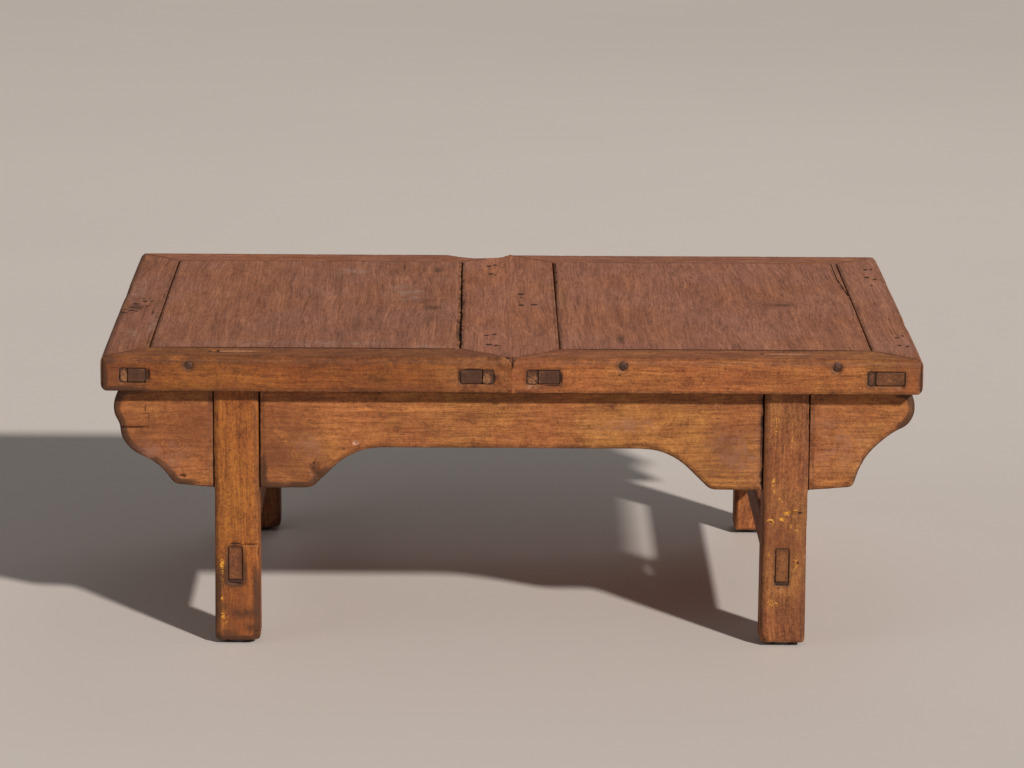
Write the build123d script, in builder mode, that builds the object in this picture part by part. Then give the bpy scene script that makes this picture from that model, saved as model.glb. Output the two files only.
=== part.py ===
"""Kang table: a low table whose top is two mitred frame-and-panel leaves side by side.

The table stands on four square legs that widen a little towards the floor. Each front and back
apron is one board with spandrel ends and a low arch, and drops into slots in the heads of two
legs (elongated bridle joints). One through-tenoned stretcher joins the legs of each end, from
front to back. The base stands a little nearer to the front edge of the top than to its back edge.

Millimetres. X runs along the table, Y from front to back and Z up. The origin is on the floor,
under the middle of the top.
"""
import os

from build123d import *

# ---------------------------------------------------------------- overall
top_length = 900.0
top_depth = 600.0
table_height = 332.0

# ---------------------------------------------------------------- frames of the two leaves
frame_thickness = 40.0
front_rail_width = 48.5
back_rail_width = 47.0
left_outer_stile_width = 50.0
left_inner_stile_width = 56.0
right_inner_stile_width = 52.0
right_outer_stile_width = 53.0
seam_gap = 0.4                 # between the two leaves
corner_radius = 7.0            # plan of the outer corners
upper_edge_round = 8.0         # front and end edges of the frame, above
back_edge_round = 3.0          # back edge of the frame, above
lower_edge_round = 2.0         # all outer edges of the frame, below
seam_edge_bevel = 0.8          # edges along the seam between the leaves

# Wane on the left leaf's back edge, where the board reached the outside of the log:
# (distance from the seam, width on the top, drop at the back edge).
wane_sections = (
    (0.0, 5.0, 2.0), (11.0, 17.0, 7.0), (24.0, 22.0, 9.4), (42.0, 24.0, 10.0), (58.0, 16.0, 6.6),
    (74.0, 3.0, 1.3), (84.0, 0.6, 0.3),
)
wane_overrun = 0.2             # how far the cut runs past the surfaces, as a share of its size

# ---------------------------------------------------------------- floating panels
panel_thickness = 13.0
tongue_thickness = 6.0
tongue_length = 7.0
groove_depth = 8.0
panel_side_gap = 1.1           # open shrinkage gap at the stiles
panel_end_gap = 0.3            # close joint at the rails
panel_edge_round = 0.8
slip_length = 205.0            # slip that fills the right panel's shrinkage gap at its back end
slip_straight = 100.0          # from the back rail to where its taper starts
slip_width = 5.5

# ---------------------------------------------------------------- joints of the frames
joint_gap = 0.2                # free play on each side of a tenon
stile_tenon_thickness = 15.5
stile_tenon_rise = 10.5        # from the frame's underside to the tenon
stile_tenon_width = 24.0
narrow_tenon_width = 20.0      # left outer stile
wide_tenon_width = 32.0        # right outer stile
tenon_end_recess = 0.5         # end grain just below the rail's face
wedge_length = 16.0
wedge_tip = 5.0                # width of every tenon wedge at its thin end
narrow_wedge_width = 8.0
broad_wedge_width = 12.0

# ---------------------------------------------------------------- battens under the panels
batten_width = 30.0
batten_height = 22.0
batten_spacing = 236.0
dovetail_depth = 5.0
dovetail_neck = 20.0
dovetail_head = 26.0
batten_tenon_length = 12.0
batten_tenon_width = 18.0
batten_tenon_height = 11.0

# ---------------------------------------------------------------- loose tongues in the seam
seam_tongue_spacing = 300.0
seam_tongue_length = 32.0      # along X, half in each leaf
seam_tongue_width = 36.0
seam_tongue_thickness = 8.0
seam_tongue_rise = 9.0         # from the frame's underside

# ---------------------------------------------------------------- legs
leg_width = 48.5               # at the frame
leg_foot_width = 51.0          # at the foot
leg_depth = 47.0
leg_end_inset = 123.25         # end of the top to the outer face of a leg, at the frame
front_setback = 21.0           # front edge of the top to the front faces of the legs
back_setback = 29.0            # back edge of the top to the back faces of the legs
leg_edge_round = 4.0
leg_foot_bevel = 2.0
leg_cheek = 10.0               # outer cheek of the slotted head
leg_tenon_width = 34.0
leg_tenon_height = 18.0
pad_thickness = 4.0
pad_diameter = 29.0

# ---------------------------------------------------------------- aprons
apron_thickness = 22.0
apron_setback = 3.0            # outer face of a leg to the outer face of the apron
apron_drop = 114.5             # frame underside to the foot of the spandrels
arch_rise = 46.0
arch_round = 73.0
arch_foot_round = 11.0
apron_left_inset = 12.3        # end of the top to the end of the apron
apron_right_inset = 5.4
apron_edge_bevel = 1.3
spandrel_inner_reach = 83.0    # leg axis to the corner where the arch starts
spandrel_left_reach = 69.5     # leg axis to the outer corner of the left spandrel's foot
spandrel_right_reach = 75.5    # leg axis to the outer corner of the right spandrel's foot
spandrel_left_round = 8.0      # that corner
spandrel_right_round = 6.0
spandrel_foot_rise = 4.0       # how far the foot climbs from the leg to that corner
spandrel_slope_round = 30.0    # where the climb starts, at the leg
housing_gap = 0.8              # open joint on each side of a leg
stub_near = 92.0               # seam to the middle of the nearer stub tenon of each leaf
stub_far = 212.0               # seam to the middle of the farther one
stub_length = 40.0
stub_thickness = 8.0
stub_shoulder = 3.0            # outer face of the apron to its stub tenons
stub_height = 8.0

# Spandrel ends from foot to top: (share of the overhang, share of the apron's drop).
left_end_curve = (
    (0.06, 0.085), (0.22, 0.20), (0.45, 0.29), (0.64, 0.343), (0.80, 0.43), (0.89, 0.54),
    (0.905, 0.63), (0.965, 0.69), (0.997, 0.85), (0.93, 0.95), (0.86, 1.00),
)
right_end_curve = (
    (0.02, 0.08), (0.10, 0.22), (0.25, 0.373), (0.50, 0.515), (0.70, 0.597), (0.86, 0.645),
    (0.96, 0.725), (1.00, 0.82), (0.97, 0.92), (0.91, 1.00),
)

# ---------------------------------------------------------------- stretchers
stretcher_thickness = 30.0
stretcher_height = 42.0
stretcher_rise = 72.0          # floor to the underside
stretcher_offset = -2.0        # along X, from the middle of the legs
stretcher_edge_round = 3.0
stretcher_tenon_thickness = 15.0
stretcher_tenon_height = 38.0
stretcher_tenon_drop = 1.5     # top of the stretcher to the top of its tenon
stretcher_wedge_height = 3.0
stretcher_wedge_tip = 1.0
stretcher_wedge_length = 28.0

# ---------------------------------------------------------------- forged nails in the front rails
nail_head_diameter = 9.0
nail_head_facets = 12
nail_head_thickness = 2.0
nail_head_recess = 0.4         # the top of the head below the rail's face
nail_head_bevel = 0.5
nail_shank_width = 4.0         # square, under the head
nail_point_width = 1.2
nail_length = 34.0
nail_drop = 10.5               # table surface to the nail
nail_places = (-353.0, 121.0, 355.0)

# ---------------------------------------------------------------- places that follow from them
half_length = top_length / 2
half_depth = top_depth / 2
underside = table_height - frame_thickness
panel_underside = table_height - panel_thickness
slip_base = panel_underside + tongue_thickness
tenon_base = underside + stile_tenon_rise
panel_front = -half_depth + front_rail_width
panel_back = half_depth - back_rail_width
leg_x = half_length - leg_end_inset - leg_width / 2
base_middle = (front_setback - back_setback) / 2
leg_face = half_depth - (front_setback + back_setback) / 2
leg_y = leg_face - leg_depth / 2
slot_face = leg_face - leg_cheek
apron_face = leg_face - apron_setback
apron_foot = underside - apron_drop
apron_back_face = apron_face - apron_thickness
stub_y = apron_face - stub_shoulder - stub_thickness / 2
slot_share = apron_drop / (underside - pad_thickness)
leg_slot_width = leg_width + (leg_foot_width - leg_width) * slot_share
tenon_top = stretcher_rise + stretcher_height - stretcher_tenon_drop
stretcher_tenon_base = tenon_top - stretcher_tenon_height

nail_height = table_height - nail_drop

LEFT, RIGHT = -1, 1
FRONT, BACK = -1, 1
os.makedirs("parts", exist_ok=True)


def keep(piece, label):
    """Label a finished piece and write it as its own STEP file."""
    piece.label = label
    export_step(piece, f"parts/{label}.step")


def block(x_range, y_range, z_range, mode=Mode.ADD):
    """A plain block between two values on each axis, in the part being built."""
    spans = (x_range, y_range, z_range)
    centre = [sum(span) / 2 for span in spans]
    with Locations(tuple(centre)):
        Box(*(abs(span[1] - span[0]) for span in spans), mode=mode)


def grown(span, gap):
    """A span made wider by a gap at both ends."""
    return (min(span) - gap, max(span) + gap)


def base_place(face, distance):
    """Y of a place in the front or back of the base, by its distance from the base's middle."""
    return base_middle + face * distance


def wane_section(width, drop):
    """Section of the corner that the wane takes off the back edge."""
    inner = half_depth - width * (1 + wane_overrun)
    outer = half_depth + width * wane_overrun
    above = table_height + drop * wane_overrun
    below = table_height - drop * (1 + wane_overrun)
    return Polygon((inner, above), (outer, below), (outer, above), align=None)


class Leaf:
    """One leaf of the top: its outline and the opening for its panel."""

    def __init__(self, side, outer_stile_width, inner_stile_width):
        self.side = side
        self.end = side * half_length
        self.seam = side * seam_gap / 2
        self.panel_outer = self.end - side * outer_stile_width
        self.panel_inner = self.seam + side * inner_stile_width

    def blank(self):
        """The leaf as one slab: its plan, its section from front to back, and its end's section."""
        with BuildPart() as slab:
            with BuildSketch(Plane.XY.offset(underside)) as plan:
                with Locations(((self.end + self.seam) / 2, 0)):
                    Rectangle(abs(self.end - self.seam), top_depth)
                fillet(plan.vertices().sort_by(lambda v: abs(v.X))[-2:], corner_radius)
            extrude(amount=frame_thickness)
            with BuildSketch(Plane.YZ):
                with BuildLine():
                    FilletPolyline((half_depth, underside), (half_depth, table_height),
                                   (-half_depth, table_height), (-half_depth, underside), close=True,
                                   radius=(lower_edge_round, back_edge_round, upper_edge_round,
                                           lower_edge_round))
                make_face()
            extrude(amount=self.end, mode=Mode.INTERSECT)
            with BuildSketch(Plane.XZ):
                with BuildLine():
                    FilletPolyline((0, underside), (self.end, underside), (self.end, table_height),
                                   (0, table_height), radius=(lower_edge_round, upper_edge_round))
                    Line((0, table_height), (0, underside))
                make_face()
            extrude(amount=half_depth, both=True, mode=Mode.INTERSECT)
            chamfer(slab.faces().sort_by(lambda f: abs(f.center().X))[0].edges(), seam_edge_bevel)
            if self.side == LEFT:
                for from_seam, width, drop in wane_sections:
                    with BuildSketch(Plane.YZ.offset(self.seam - from_seam)):
                        wane_section(width, drop)
                loft(ruled=True, mode=Mode.SUBTRACT)
        return slab.part

    def groove(self):
        """Cut the groove for the panel's tongue into the member being built."""
        block(grown((self.panel_outer, self.panel_inner), groove_depth),
              grown((panel_front, panel_back), groove_depth),
              (panel_underside, panel_underside + tongue_thickness + joint_gap), Mode.SUBTRACT)


class Stile:
    """One of the four long members, which run from front to back and are tenoned through."""

    def __init__(self, leaf, outer, tenon_width, wedge_width, wedge_inside):
        self.leaf = leaf
        self.outer = outer
        self.out = leaf.side if outer else -leaf.side
        self.edge = leaf.panel_outer if outer else leaf.panel_inner
        self.border = leaf.end if outer else leaf.seam
        self.wedge_width = wedge_width
        self.tenon = (self.edge, self.edge + self.out * tenon_width)
        self.wedge_root = self.tenon[0] if wedge_inside else self.tenon[1]
        self.wedge_out = -self.out if wedge_inside else self.out

    def wedge_plan(self, face, gap):
        """Plan of the wedge beside the tenon, with free play on its sloping side."""
        root = self.wedge_root + self.wedge_out * joint_gap
        mouth = root + self.wedge_out * (self.wedge_width + gap)
        tip = root + self.wedge_out * (wedge_tip + gap)
        inner = face * (half_depth - wedge_length - gap)
        back = root - self.wedge_out * gap
        return Polygon((back, face * half_depth), (mouth, face * half_depth), (tip, inner),
                       (back, inner), align=None)


left_leaf = Leaf(LEFT, left_outer_stile_width, left_inner_stile_width)
right_leaf = Leaf(RIGHT, right_outer_stile_width, right_inner_stile_width)
stiles = {
    "left_outer_stile": Stile(left_leaf, True, narrow_tenon_width, narrow_wedge_width, False),
    "left_inner_stile": Stile(left_leaf, False, stile_tenon_width, broad_wedge_width, False),
    "right_inner_stile": Stile(right_leaf, False, stile_tenon_width, broad_wedge_width, False),
    "right_outer_stile": Stile(right_leaf, True, wide_tenon_width, narrow_wedge_width, True),
}
tenon_span = (tenon_base, tenon_base + stile_tenon_thickness)
batten_places = [side * batten_spacing / 2 for side in (FRONT, BACK)]
batten_base = panel_underside - batten_height
batten_tenon_base = underside + (panel_underside - underside - batten_tenon_height) / 2
seam_tongue_base = underside + seam_tongue_rise
seam_tongue_places = [side * seam_tongue_spacing / 2 for side in (FRONT, BACK)]


# ---------------------------------------------------------------- rails, front and back
def make_rail(leaf, face):
    """A front or back rail: mitred ends, through mortises, and blind mortises below."""
    edge = panel_front if face == FRONT else panel_back
    with BuildPart() as rail:
        add(leaf.blank())
        with BuildSketch(Plane.XY.offset(underside)):
            Polygon((leaf.end, face * half_depth), (leaf.seam, face * half_depth),
                    (leaf.panel_inner, edge), (leaf.panel_outer, edge), align=None)
        extrude(amount=frame_thickness, mode=Mode.INTERSECT)
        leaf.groove()
        for stile in (s for s in stiles.values() if s.leaf is leaf):
            block(grown(stile.tenon, joint_gap), (face * half_depth, edge),
                  grown(tenon_span, joint_gap), Mode.SUBTRACT)
            with BuildSketch(Plane.XY.offset(tenon_span[0] - joint_gap)):
                stile.wedge_plan(face, joint_gap)
            extrude(amount=stile_tenon_thickness + 2 * joint_gap, mode=Mode.SUBTRACT)
        leg_centre = leaf.side * leg_x
        leg_span = (leg_centre - leg_tenon_width / 2, leg_centre + leg_tenon_width / 2)
        block(grown(leg_span, joint_gap),
              grown((base_place(face, slot_face), base_place(face, leg_face)), joint_gap),
              (underside, underside + leg_tenon_height + joint_gap), Mode.SUBTRACT)
        for centre in stub_places(leaf.side):
            block(grown((centre - stub_length / 2, centre + stub_length / 2), joint_gap),
                  grown(stub_span(face), joint_gap),
                  (underside, underside + stub_height + joint_gap), Mode.SUBTRACT)
        if face == FRONT:
            for centre in (x for x in nail_places if x * leaf.side > 0):
                with BuildSketch(Plane.XZ.offset(half_depth)):
                    nail_head(centre, joint_gap)
                extrude(amount=-(nail_head_thickness + nail_head_recess), mode=Mode.SUBTRACT)
                block(grown((centre - nail_shank_width / 2, centre + nail_shank_width / 2), joint_gap),
                      (-half_depth, -half_depth + nail_length + joint_gap),
                      grown((nail_height - nail_shank_width / 2, nail_height + nail_shank_width / 2),
                            joint_gap), Mode.SUBTRACT)
    return rail.part


def nail_head(centre, gap):
    """Outline of a nail's faceted head on the rail's face."""
    with Locations((centre, nail_height)):
        return RegularPolygon(nail_head_diameter / 2 + gap, nail_head_facets)


def stub_places(side):
    """Middles of an apron's stub tenons under one leaf."""
    return (side * stub_near, side * stub_far)


def stub_span(face):
    """Front and back of the stub tenons on one apron."""
    return (base_place(face, stub_y - stub_thickness / 2), base_place(face, stub_y + stub_thickness / 2))


leaves = {"left": left_leaf, "right": right_leaf}
for leaf_name, leaf in leaves.items():
    keep(make_rail(leaf, FRONT), f"{leaf_name}_front_rail")
    keep(make_rail(leaf, BACK), f"{leaf_name}_back_rail")


# ---------------------------------------------------------------- stiles
def make_stile(stile):
    """A stile: mitred ends with through tenons, and mortises for battens and seam tongues."""
    leaf = stile.leaf
    with BuildPart() as member:
        add(leaf.blank())
        with BuildSketch(Plane.XY.offset(underside)):
            Polygon((stile.border, -half_depth + joint_gap), (stile.edge, panel_front + joint_gap),
                    (stile.edge, panel_back - joint_gap), (stile.border, half_depth - joint_gap),
                    align=None)
        extrude(amount=frame_thickness, mode=Mode.INTERSECT)
        leaf.groove()
        block(stile.tenon, (-half_depth + tenon_end_recess, half_depth - tenon_end_recess), tenon_span)
        for centre in batten_places:
            block((stile.edge, stile.edge + stile.out * (batten_tenon_length + joint_gap)),
                  grown((centre - batten_tenon_width / 2, centre + batten_tenon_width / 2), joint_gap),
                  grown((batten_tenon_base, batten_tenon_base + batten_tenon_height), joint_gap),
                  Mode.SUBTRACT)
        if not stile.outer:
            for centre in seam_tongue_places:
                block((0, leaf.side * (seam_tongue_length / 2 + joint_gap)),
                      grown((centre - seam_tongue_width / 2, centre + seam_tongue_width / 2), joint_gap),
                      grown((seam_tongue_base, seam_tongue_base + seam_tongue_thickness), joint_gap),
                      Mode.SUBTRACT)
    return member.part


for stile_name, stile in stiles.items():
    keep(make_stile(stile), stile_name)


# ---------------------------------------------------------------- panels and battens
def dovetail_profile(centre, gap):
    """Cross-section of a batten's dovetail, seen along X."""
    top = panel_underside + dovetail_depth
    return Polygon((centre - dovetail_neck / 2 - gap, panel_underside),
                   (centre + dovetail_neck / 2 + gap, panel_underside),
                   (centre + dovetail_head / 2 + gap, top + gap),
                   (centre - dovetail_head / 2 - gap, top + gap), align=None)


def slip_plan(gap):
    """Plan of the slip beside the right panel, which runs out to nothing towards the front."""
    edge = right_leaf.panel_outer - panel_side_gap
    end = panel_back - panel_end_gap
    inner = edge - slip_width - gap
    return Polygon((edge, end), (inner, end), (inner, end - slip_straight),
                   (edge, end - slip_length - gap), align=None)


def make_panel(leaf):
    """A floating panel: flush above, tongued all round, dovetail slots below."""
    opening = (leaf.panel_outer, leaf.panel_inner)
    depth_span = (panel_front, panel_back)
    with BuildPart() as panel:
        block(grown(opening, -panel_side_gap), grown(depth_span, -panel_end_gap),
              (panel_underside, table_height))
        if leaf is right_leaf:
            with BuildSketch(Plane.XY.offset(slip_base)):
                slip_plan(joint_gap)
            extrude(amount=table_height - slip_base, mode=Mode.SUBTRACT)
        fillet(panel.faces().sort_by(Axis.Z)[-1].edges(), panel_edge_round)
        block(grown(opening, tongue_length), grown(depth_span, tongue_length),
              (panel_underside, panel_underside + tongue_thickness))
        for centre in batten_places:
            with BuildSketch(Plane.YZ.offset(min(opening) - tongue_length)):
                dovetail_profile(centre, joint_gap)
            extrude(amount=abs(opening[1] - opening[0]) + 2 * tongue_length, mode=Mode.SUBTRACT)
    return panel.part


def make_batten(leaf, centre):
    """A batten along X: dovetail above, and a blind tenon at each stile."""
    opening = (leaf.panel_outer, leaf.panel_inner)
    with BuildPart() as batten:
        block(opening, (centre - batten_width / 2, centre + batten_width / 2),
              (batten_base, panel_underside))
        with BuildSketch(Plane.YZ.offset(min(opening))):
            dovetail_profile(centre, 0)
        extrude(amount=abs(opening[1] - opening[0]))
        block(grown(opening, batten_tenon_length),
              (centre - batten_tenon_width / 2, centre + batten_tenon_width / 2),
              (batten_tenon_base, batten_tenon_base + batten_tenon_height))
    return batten.part


for leaf_name, leaf in leaves.items():
    keep(make_panel(leaf), f"{leaf_name}_panel")
    for place_name, centre in zip(("front", "back"), batten_places):
        keep(make_batten(leaf, centre), f"{leaf_name}_{place_name}_batten")

with BuildPart() as right_panel_slip:
    with BuildSketch(Plane.XY.offset(slip_base)):
        slip_plan(0)
    extrude(amount=table_height - slip_base)
keep(right_panel_slip.part, "right_panel_slip")

# ---------------------------------------------------------------- tongues in the seam
with BuildPart() as seam_tongues:
    with Locations(*[(0, y, seam_tongue_base + seam_tongue_thickness / 2) for y in seam_tongue_places]):
        Box(seam_tongue_length, seam_tongue_width, seam_tongue_thickness)
keep(seam_tongues.part, "seam_tongues")

# ---------------------------------------------------------------- wedges beside the stile tenons
with BuildPart() as tenon_wedges:
    for stile in stiles.values():
        for face in (FRONT, BACK):
            with BuildSketch(Plane.XY.offset(tenon_base)):
                stile.wedge_plan(face, 0)
            extrude(amount=stile_tenon_thickness)
keep(tenon_wedges.part, "tenon_wedges")

# ---------------------------------------------------------------- nails
nail_face = half_depth - nail_head_recess
nail_neck = nail_face - nail_head_thickness
with BuildPart() as rail_nails:
    for centre in nail_places:
        with BuildSketch(Plane.XZ.offset(nail_face)):
            nail_head(centre, 0)
        extrude(amount=-nail_head_thickness)
    faces = rail_nails.faces().filter_by(Axis.Y).sort_by(Axis.Y)[:len(nail_places)]
    chamfer(faces.edges(), nail_head_bevel)
    for centre in nail_places:
        for distance, width in ((nail_neck, nail_shank_width), (half_depth - nail_length, nail_point_width)):
            with BuildSketch(Plane.XZ.offset(distance)):
                with Locations((centre, nail_height)):
                    Rectangle(width, width)
        loft()
keep(rail_nails.part, "rail_nails")


# ---------------------------------------------------------------- aprons
def half_outline(side, foot_reach, foot_round, inset, curve):
    """Half of an apron's outline, from the middle of its arch to the top; gives its last point."""
    arch_foot = leg_x - spandrel_inner_reach
    arch_top = arch_foot - arch_rise
    foot = leg_x + foot_reach
    overhang = half_length - inset - foot
    points = [(side * (foot + u * overhang), apron_foot + v * apron_drop) for u, v in curve]
    corner = (side * foot, apron_foot + spandrel_foot_rise)
    FilletPolyline((0, apron_foot + arch_rise), (side * arch_top, apron_foot + arch_rise),
                   (side * arch_foot, apron_foot), (side * (leg_x + leg_width / 2), apron_foot),
                   corner, points[0],
                   radius=(arch_round, arch_foot_round, spandrel_slope_round, foot_round))
    start = Vector(*points[0]) - Vector(*corner)
    finish = Vector(*points[-1]) - Vector(*points[-2])
    Spline(*points, tangents=(start.normalized(), finish.normalized()))
    return points[-1]


def make_apron(face):
    """One board: spandrels at both ends, the arch between them, housings for two legs."""
    with BuildPart() as apron:
        with BuildSketch(Plane.XZ.offset(-min(base_place(face, apron_face),
                                              base_place(face, apron_back_face)))):
            with BuildLine():
                left_top = half_outline(LEFT, spandrel_left_reach, spandrel_left_round,
                                        apron_left_inset, left_end_curve)
                right_top = half_outline(RIGHT, spandrel_right_reach, spandrel_right_round,
                                         apron_right_inset, right_end_curve)
                Line(left_top, right_top)
            make_face()
        extrude(amount=-apron_thickness)
        outer = apron.faces().filter_by(Axis.Y).sort_by(Axis.Y)[0 if face == FRONT else -1]
        lower = [e for e in outer.edges() if e.center().Z < underside - 1]
        chamfer(lower, apron_edge_bevel)
        for side in (LEFT, RIGHT):
            leg_span = (side * leg_x - leg_slot_width / 2, side * leg_x + leg_slot_width / 2)
            block(grown(leg_span, housing_gap),
                  (base_place(face, apron_face), base_place(face, slot_face)),
                  (apron_foot, underside), Mode.SUBTRACT)
            for centre in stub_places(side):
                block((centre - stub_length / 2, centre + stub_length / 2), stub_span(face),
                      (underside, underside + stub_height))
    return apron.part


keep(make_apron(FRONT), "front_apron")
keep(make_apron(BACK), "back_apron")


# ---------------------------------------------------------------- legs and their pads
def stretcher_tenon_faces(side):
    """Both faces of a stretcher's tenon, across the leg."""
    middle = side * leg_x + stretcher_offset
    return (middle - stretcher_tenon_thickness / 2, middle + stretcher_tenon_thickness / 2)


def make_leg(side, face):
    """A square leg: a slot in its head for the apron, a blind tenon above, a mortise below."""
    centre_x = side * leg_x
    outer, inner = base_place(face, leg_face), base_place(face, leg_face - leg_depth)
    slot_outer = base_place(face, slot_face)
    slot_inner = base_place(face, apron_back_face - joint_gap)
    with BuildPart() as leg:
        with BuildSketch(Plane.XZ.offset(-max(outer, inner))):
            Polygon((centre_x - leg_foot_width / 2, pad_thickness),
                    (centre_x + leg_foot_width / 2, pad_thickness),
                    (centre_x + leg_width / 2, underside),
                    (centre_x - leg_width / 2, underside), align=None)
        extrude(amount=leg_depth)
        fillet(leg.edges().sort_by(SortBy.LENGTH)[-4:], leg_edge_round)
        chamfer(leg.faces().sort_by(Axis.Z)[0].edges(), leg_foot_bevel)
        block((centre_x - leg_tenon_width / 2, centre_x + leg_tenon_width / 2),
              (slot_outer, outer), (underside, underside + leg_tenon_height))
        block((centre_x - leg_slot_width / 2, centre_x + leg_slot_width / 2),
              (slot_outer, slot_inner), (apron_foot, underside), Mode.SUBTRACT)
        block(grown(stretcher_tenon_faces(side), joint_gap), (outer, inner),
              (stretcher_tenon_base - stretcher_wedge_height - joint_gap, tenon_top + joint_gap),
              Mode.SUBTRACT)
    return leg.part


def make_pad(side, face):
    """A thin round pad under a leg."""
    with BuildPart() as pad:
        with BuildSketch():
            with Locations((side * leg_x, base_place(face, leg_y))):
                Circle(pad_diameter / 2)
        extrude(amount=pad_thickness)
    return pad.part


for face_name, face in (("front", FRONT), ("back", BACK)):
    for side_name, side in (("left", LEFT), ("right", RIGHT)):
        keep(make_leg(side, face), f"{face_name}_{side_name}_leg")
        keep(make_pad(side, face), f"{face_name}_{side_name}_pad")


# ---------------------------------------------------------------- stretchers and their wedges
def make_stretcher(side):
    """A stretcher from the front leg to the back one, with a through tenon at each end."""
    shoulder = leg_face - leg_depth
    with BuildPart() as stretcher:
        with BuildSketch(Plane.XZ.offset(-base_place(BACK, shoulder))) as section:
            with Locations((side * leg_x + stretcher_offset, stretcher_rise + stretcher_height / 2)):
                Rectangle(stretcher_thickness, stretcher_height)
            fillet(section.vertices(), stretcher_edge_round)
        extrude(amount=2 * shoulder)
        block(stretcher_tenon_faces(side),
              [base_place(face, leg_face - tenon_end_recess) for face in (FRONT, BACK)],
              (stretcher_tenon_base, tenon_top))
    return stretcher.part


for side_name, side in (("left", LEFT), ("right", RIGHT)):
    keep(make_stretcher(side), f"{side_name}_stretcher")

with BuildPart() as stretcher_wedges:
    for side in (LEFT, RIGHT):
        for face in (FRONT, BACK):
            mouth = base_place(face, leg_face - tenon_end_recess)
            tip = base_place(face, leg_face - stretcher_wedge_length)
            with BuildSketch(Plane.YZ.offset(stretcher_tenon_faces(side)[0])):
                Polygon((mouth, stretcher_tenon_base),
                        (mouth, stretcher_tenon_base - stretcher_wedge_height),
                        (tip, stretcher_tenon_base - stretcher_wedge_tip),
                        (tip, stretcher_tenon_base), align=None)
            extrude(amount=stretcher_tenon_thickness)
keep(stretcher_wedges.part, "stretcher_wedges")
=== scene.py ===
"""A two-leaf kang table in old elm: worn and waxed timber, hammered nails, felt pads, stage and camera."""

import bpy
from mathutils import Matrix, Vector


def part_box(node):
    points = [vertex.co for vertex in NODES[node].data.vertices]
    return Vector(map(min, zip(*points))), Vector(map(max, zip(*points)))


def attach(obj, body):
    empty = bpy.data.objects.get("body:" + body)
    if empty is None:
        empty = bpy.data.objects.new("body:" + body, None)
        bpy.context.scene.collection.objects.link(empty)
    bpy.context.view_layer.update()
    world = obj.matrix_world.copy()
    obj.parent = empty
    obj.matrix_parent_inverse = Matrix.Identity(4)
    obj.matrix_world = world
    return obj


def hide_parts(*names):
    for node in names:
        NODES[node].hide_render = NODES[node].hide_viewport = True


bl_info = {
    "name": "Kang table",
    "version": (1, 0, 0),
    "blender": (4, 5, 0),
    "location": "View3D > Sidebar > Kang table",
    "description": "Finishes the packed kang table as worn, waxed old elm",
    "category": "Object",
}

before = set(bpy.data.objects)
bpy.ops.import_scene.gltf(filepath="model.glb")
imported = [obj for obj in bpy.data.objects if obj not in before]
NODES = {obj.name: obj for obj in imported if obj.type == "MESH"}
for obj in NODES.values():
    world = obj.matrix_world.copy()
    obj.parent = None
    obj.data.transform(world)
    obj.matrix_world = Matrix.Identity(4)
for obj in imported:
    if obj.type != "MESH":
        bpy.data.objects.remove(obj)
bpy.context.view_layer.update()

import functools
import itertools
import math

import bmesh
import bpy
import numpy as np
from mathutils import Matrix, Vector

MM = 0.001


# ---- node trees

def pick(sockets, key):
    """The socket with this number, identifier or name."""
    if isinstance(key, int):
        return sockets[key]
    for socket in sockets:
        if socket.enabled and key in (socket.identifier, socket.name):
            return socket
    raise RuntimeError(f"there is no socket {key!r} among {[s.name for s in sockets]}")


class Wire:
    """One output of a node. Sums, products and powers of wires add Math nodes."""

    def __init__(self, tree, socket):
        self.tree = tree
        self.socket = socket

    def out(self, key):
        return Wire(self.tree, pick(self.socket.node.outputs, key))

    def maths(self, operation, first, second=0.0):
        return node(self.tree, "ShaderNodeMath", {"operation": operation}, {0: first, 1: second})

    def __add__(self, other):
        return self.maths("ADD", self, other)

    def __radd__(self, other):
        return self.maths("ADD", other, self)

    def __sub__(self, other):
        return self.maths("SUBTRACT", self, other)

    def __rsub__(self, other):
        return self.maths("SUBTRACT", other, self)

    def __mul__(self, other):
        return self.maths("MULTIPLY", self, other)

    def __rmul__(self, other):
        return self.maths("MULTIPLY", other, self)

    def __pow__(self, other):
        return self.maths("POWER", self, other)

    def least(self, other):
        return self.maths("MINIMUM", self, other)

    def most(self, other):
        return self.maths("MAXIMUM", self, other)

    def size(self):
        return self.maths("ABSOLUTE", self)

    def part(self):
        return self.maths("FRACT", self)

    def between(self, low, high):
        """A smooth step from 0 at low to 1 at high, or falling where low is above high."""
        return node(self.tree, "ShaderNodeMapRange", {"interpolation_type": "SMOOTHSTEP"},
                    {"Value": self, "From Min": low, "From Max": high})


def node(tree, kind, settings=None, sockets=None):
    """Adds a node: its settings first, then the value or wire of each socket."""
    made = tree.nodes.new(kind)
    for key, value in (settings or {}).items():
        setattr(made, key, value)
    connect(made, sockets or {})
    return Wire(tree, made.outputs[0] if made.outputs else None)


def connect(made, sockets):
    """Gives a node the value or wire of each socket."""
    for key, value in sockets.items():
        socket = pick(made.inputs, key)
        if isinstance(value, Wire):
            value.tree.links.new(value.socket, socket)
        elif socket.type == "RGBA" and len(value) == 3:
            socket.default_value = (*value, 1.0)
        else:
            socket.default_value = value


def split(wire):
    """The node that takes a vector apart into X, Y and Z."""
    return node(wire.tree, "ShaderNodeSeparateXYZ", None, {0: wire})


def vector(operation, first, second=(0.0, 0.0, 0.0)):
    return node(first.tree, "ShaderNodeVectorMath", {"operation": operation}, {0: first, 1: second})


def scaled(wire, share):
    return node(wire.tree, "ShaderNodeVectorMath", {"operation": "SCALE"}, {0: wire, "Scale": share})


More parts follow.
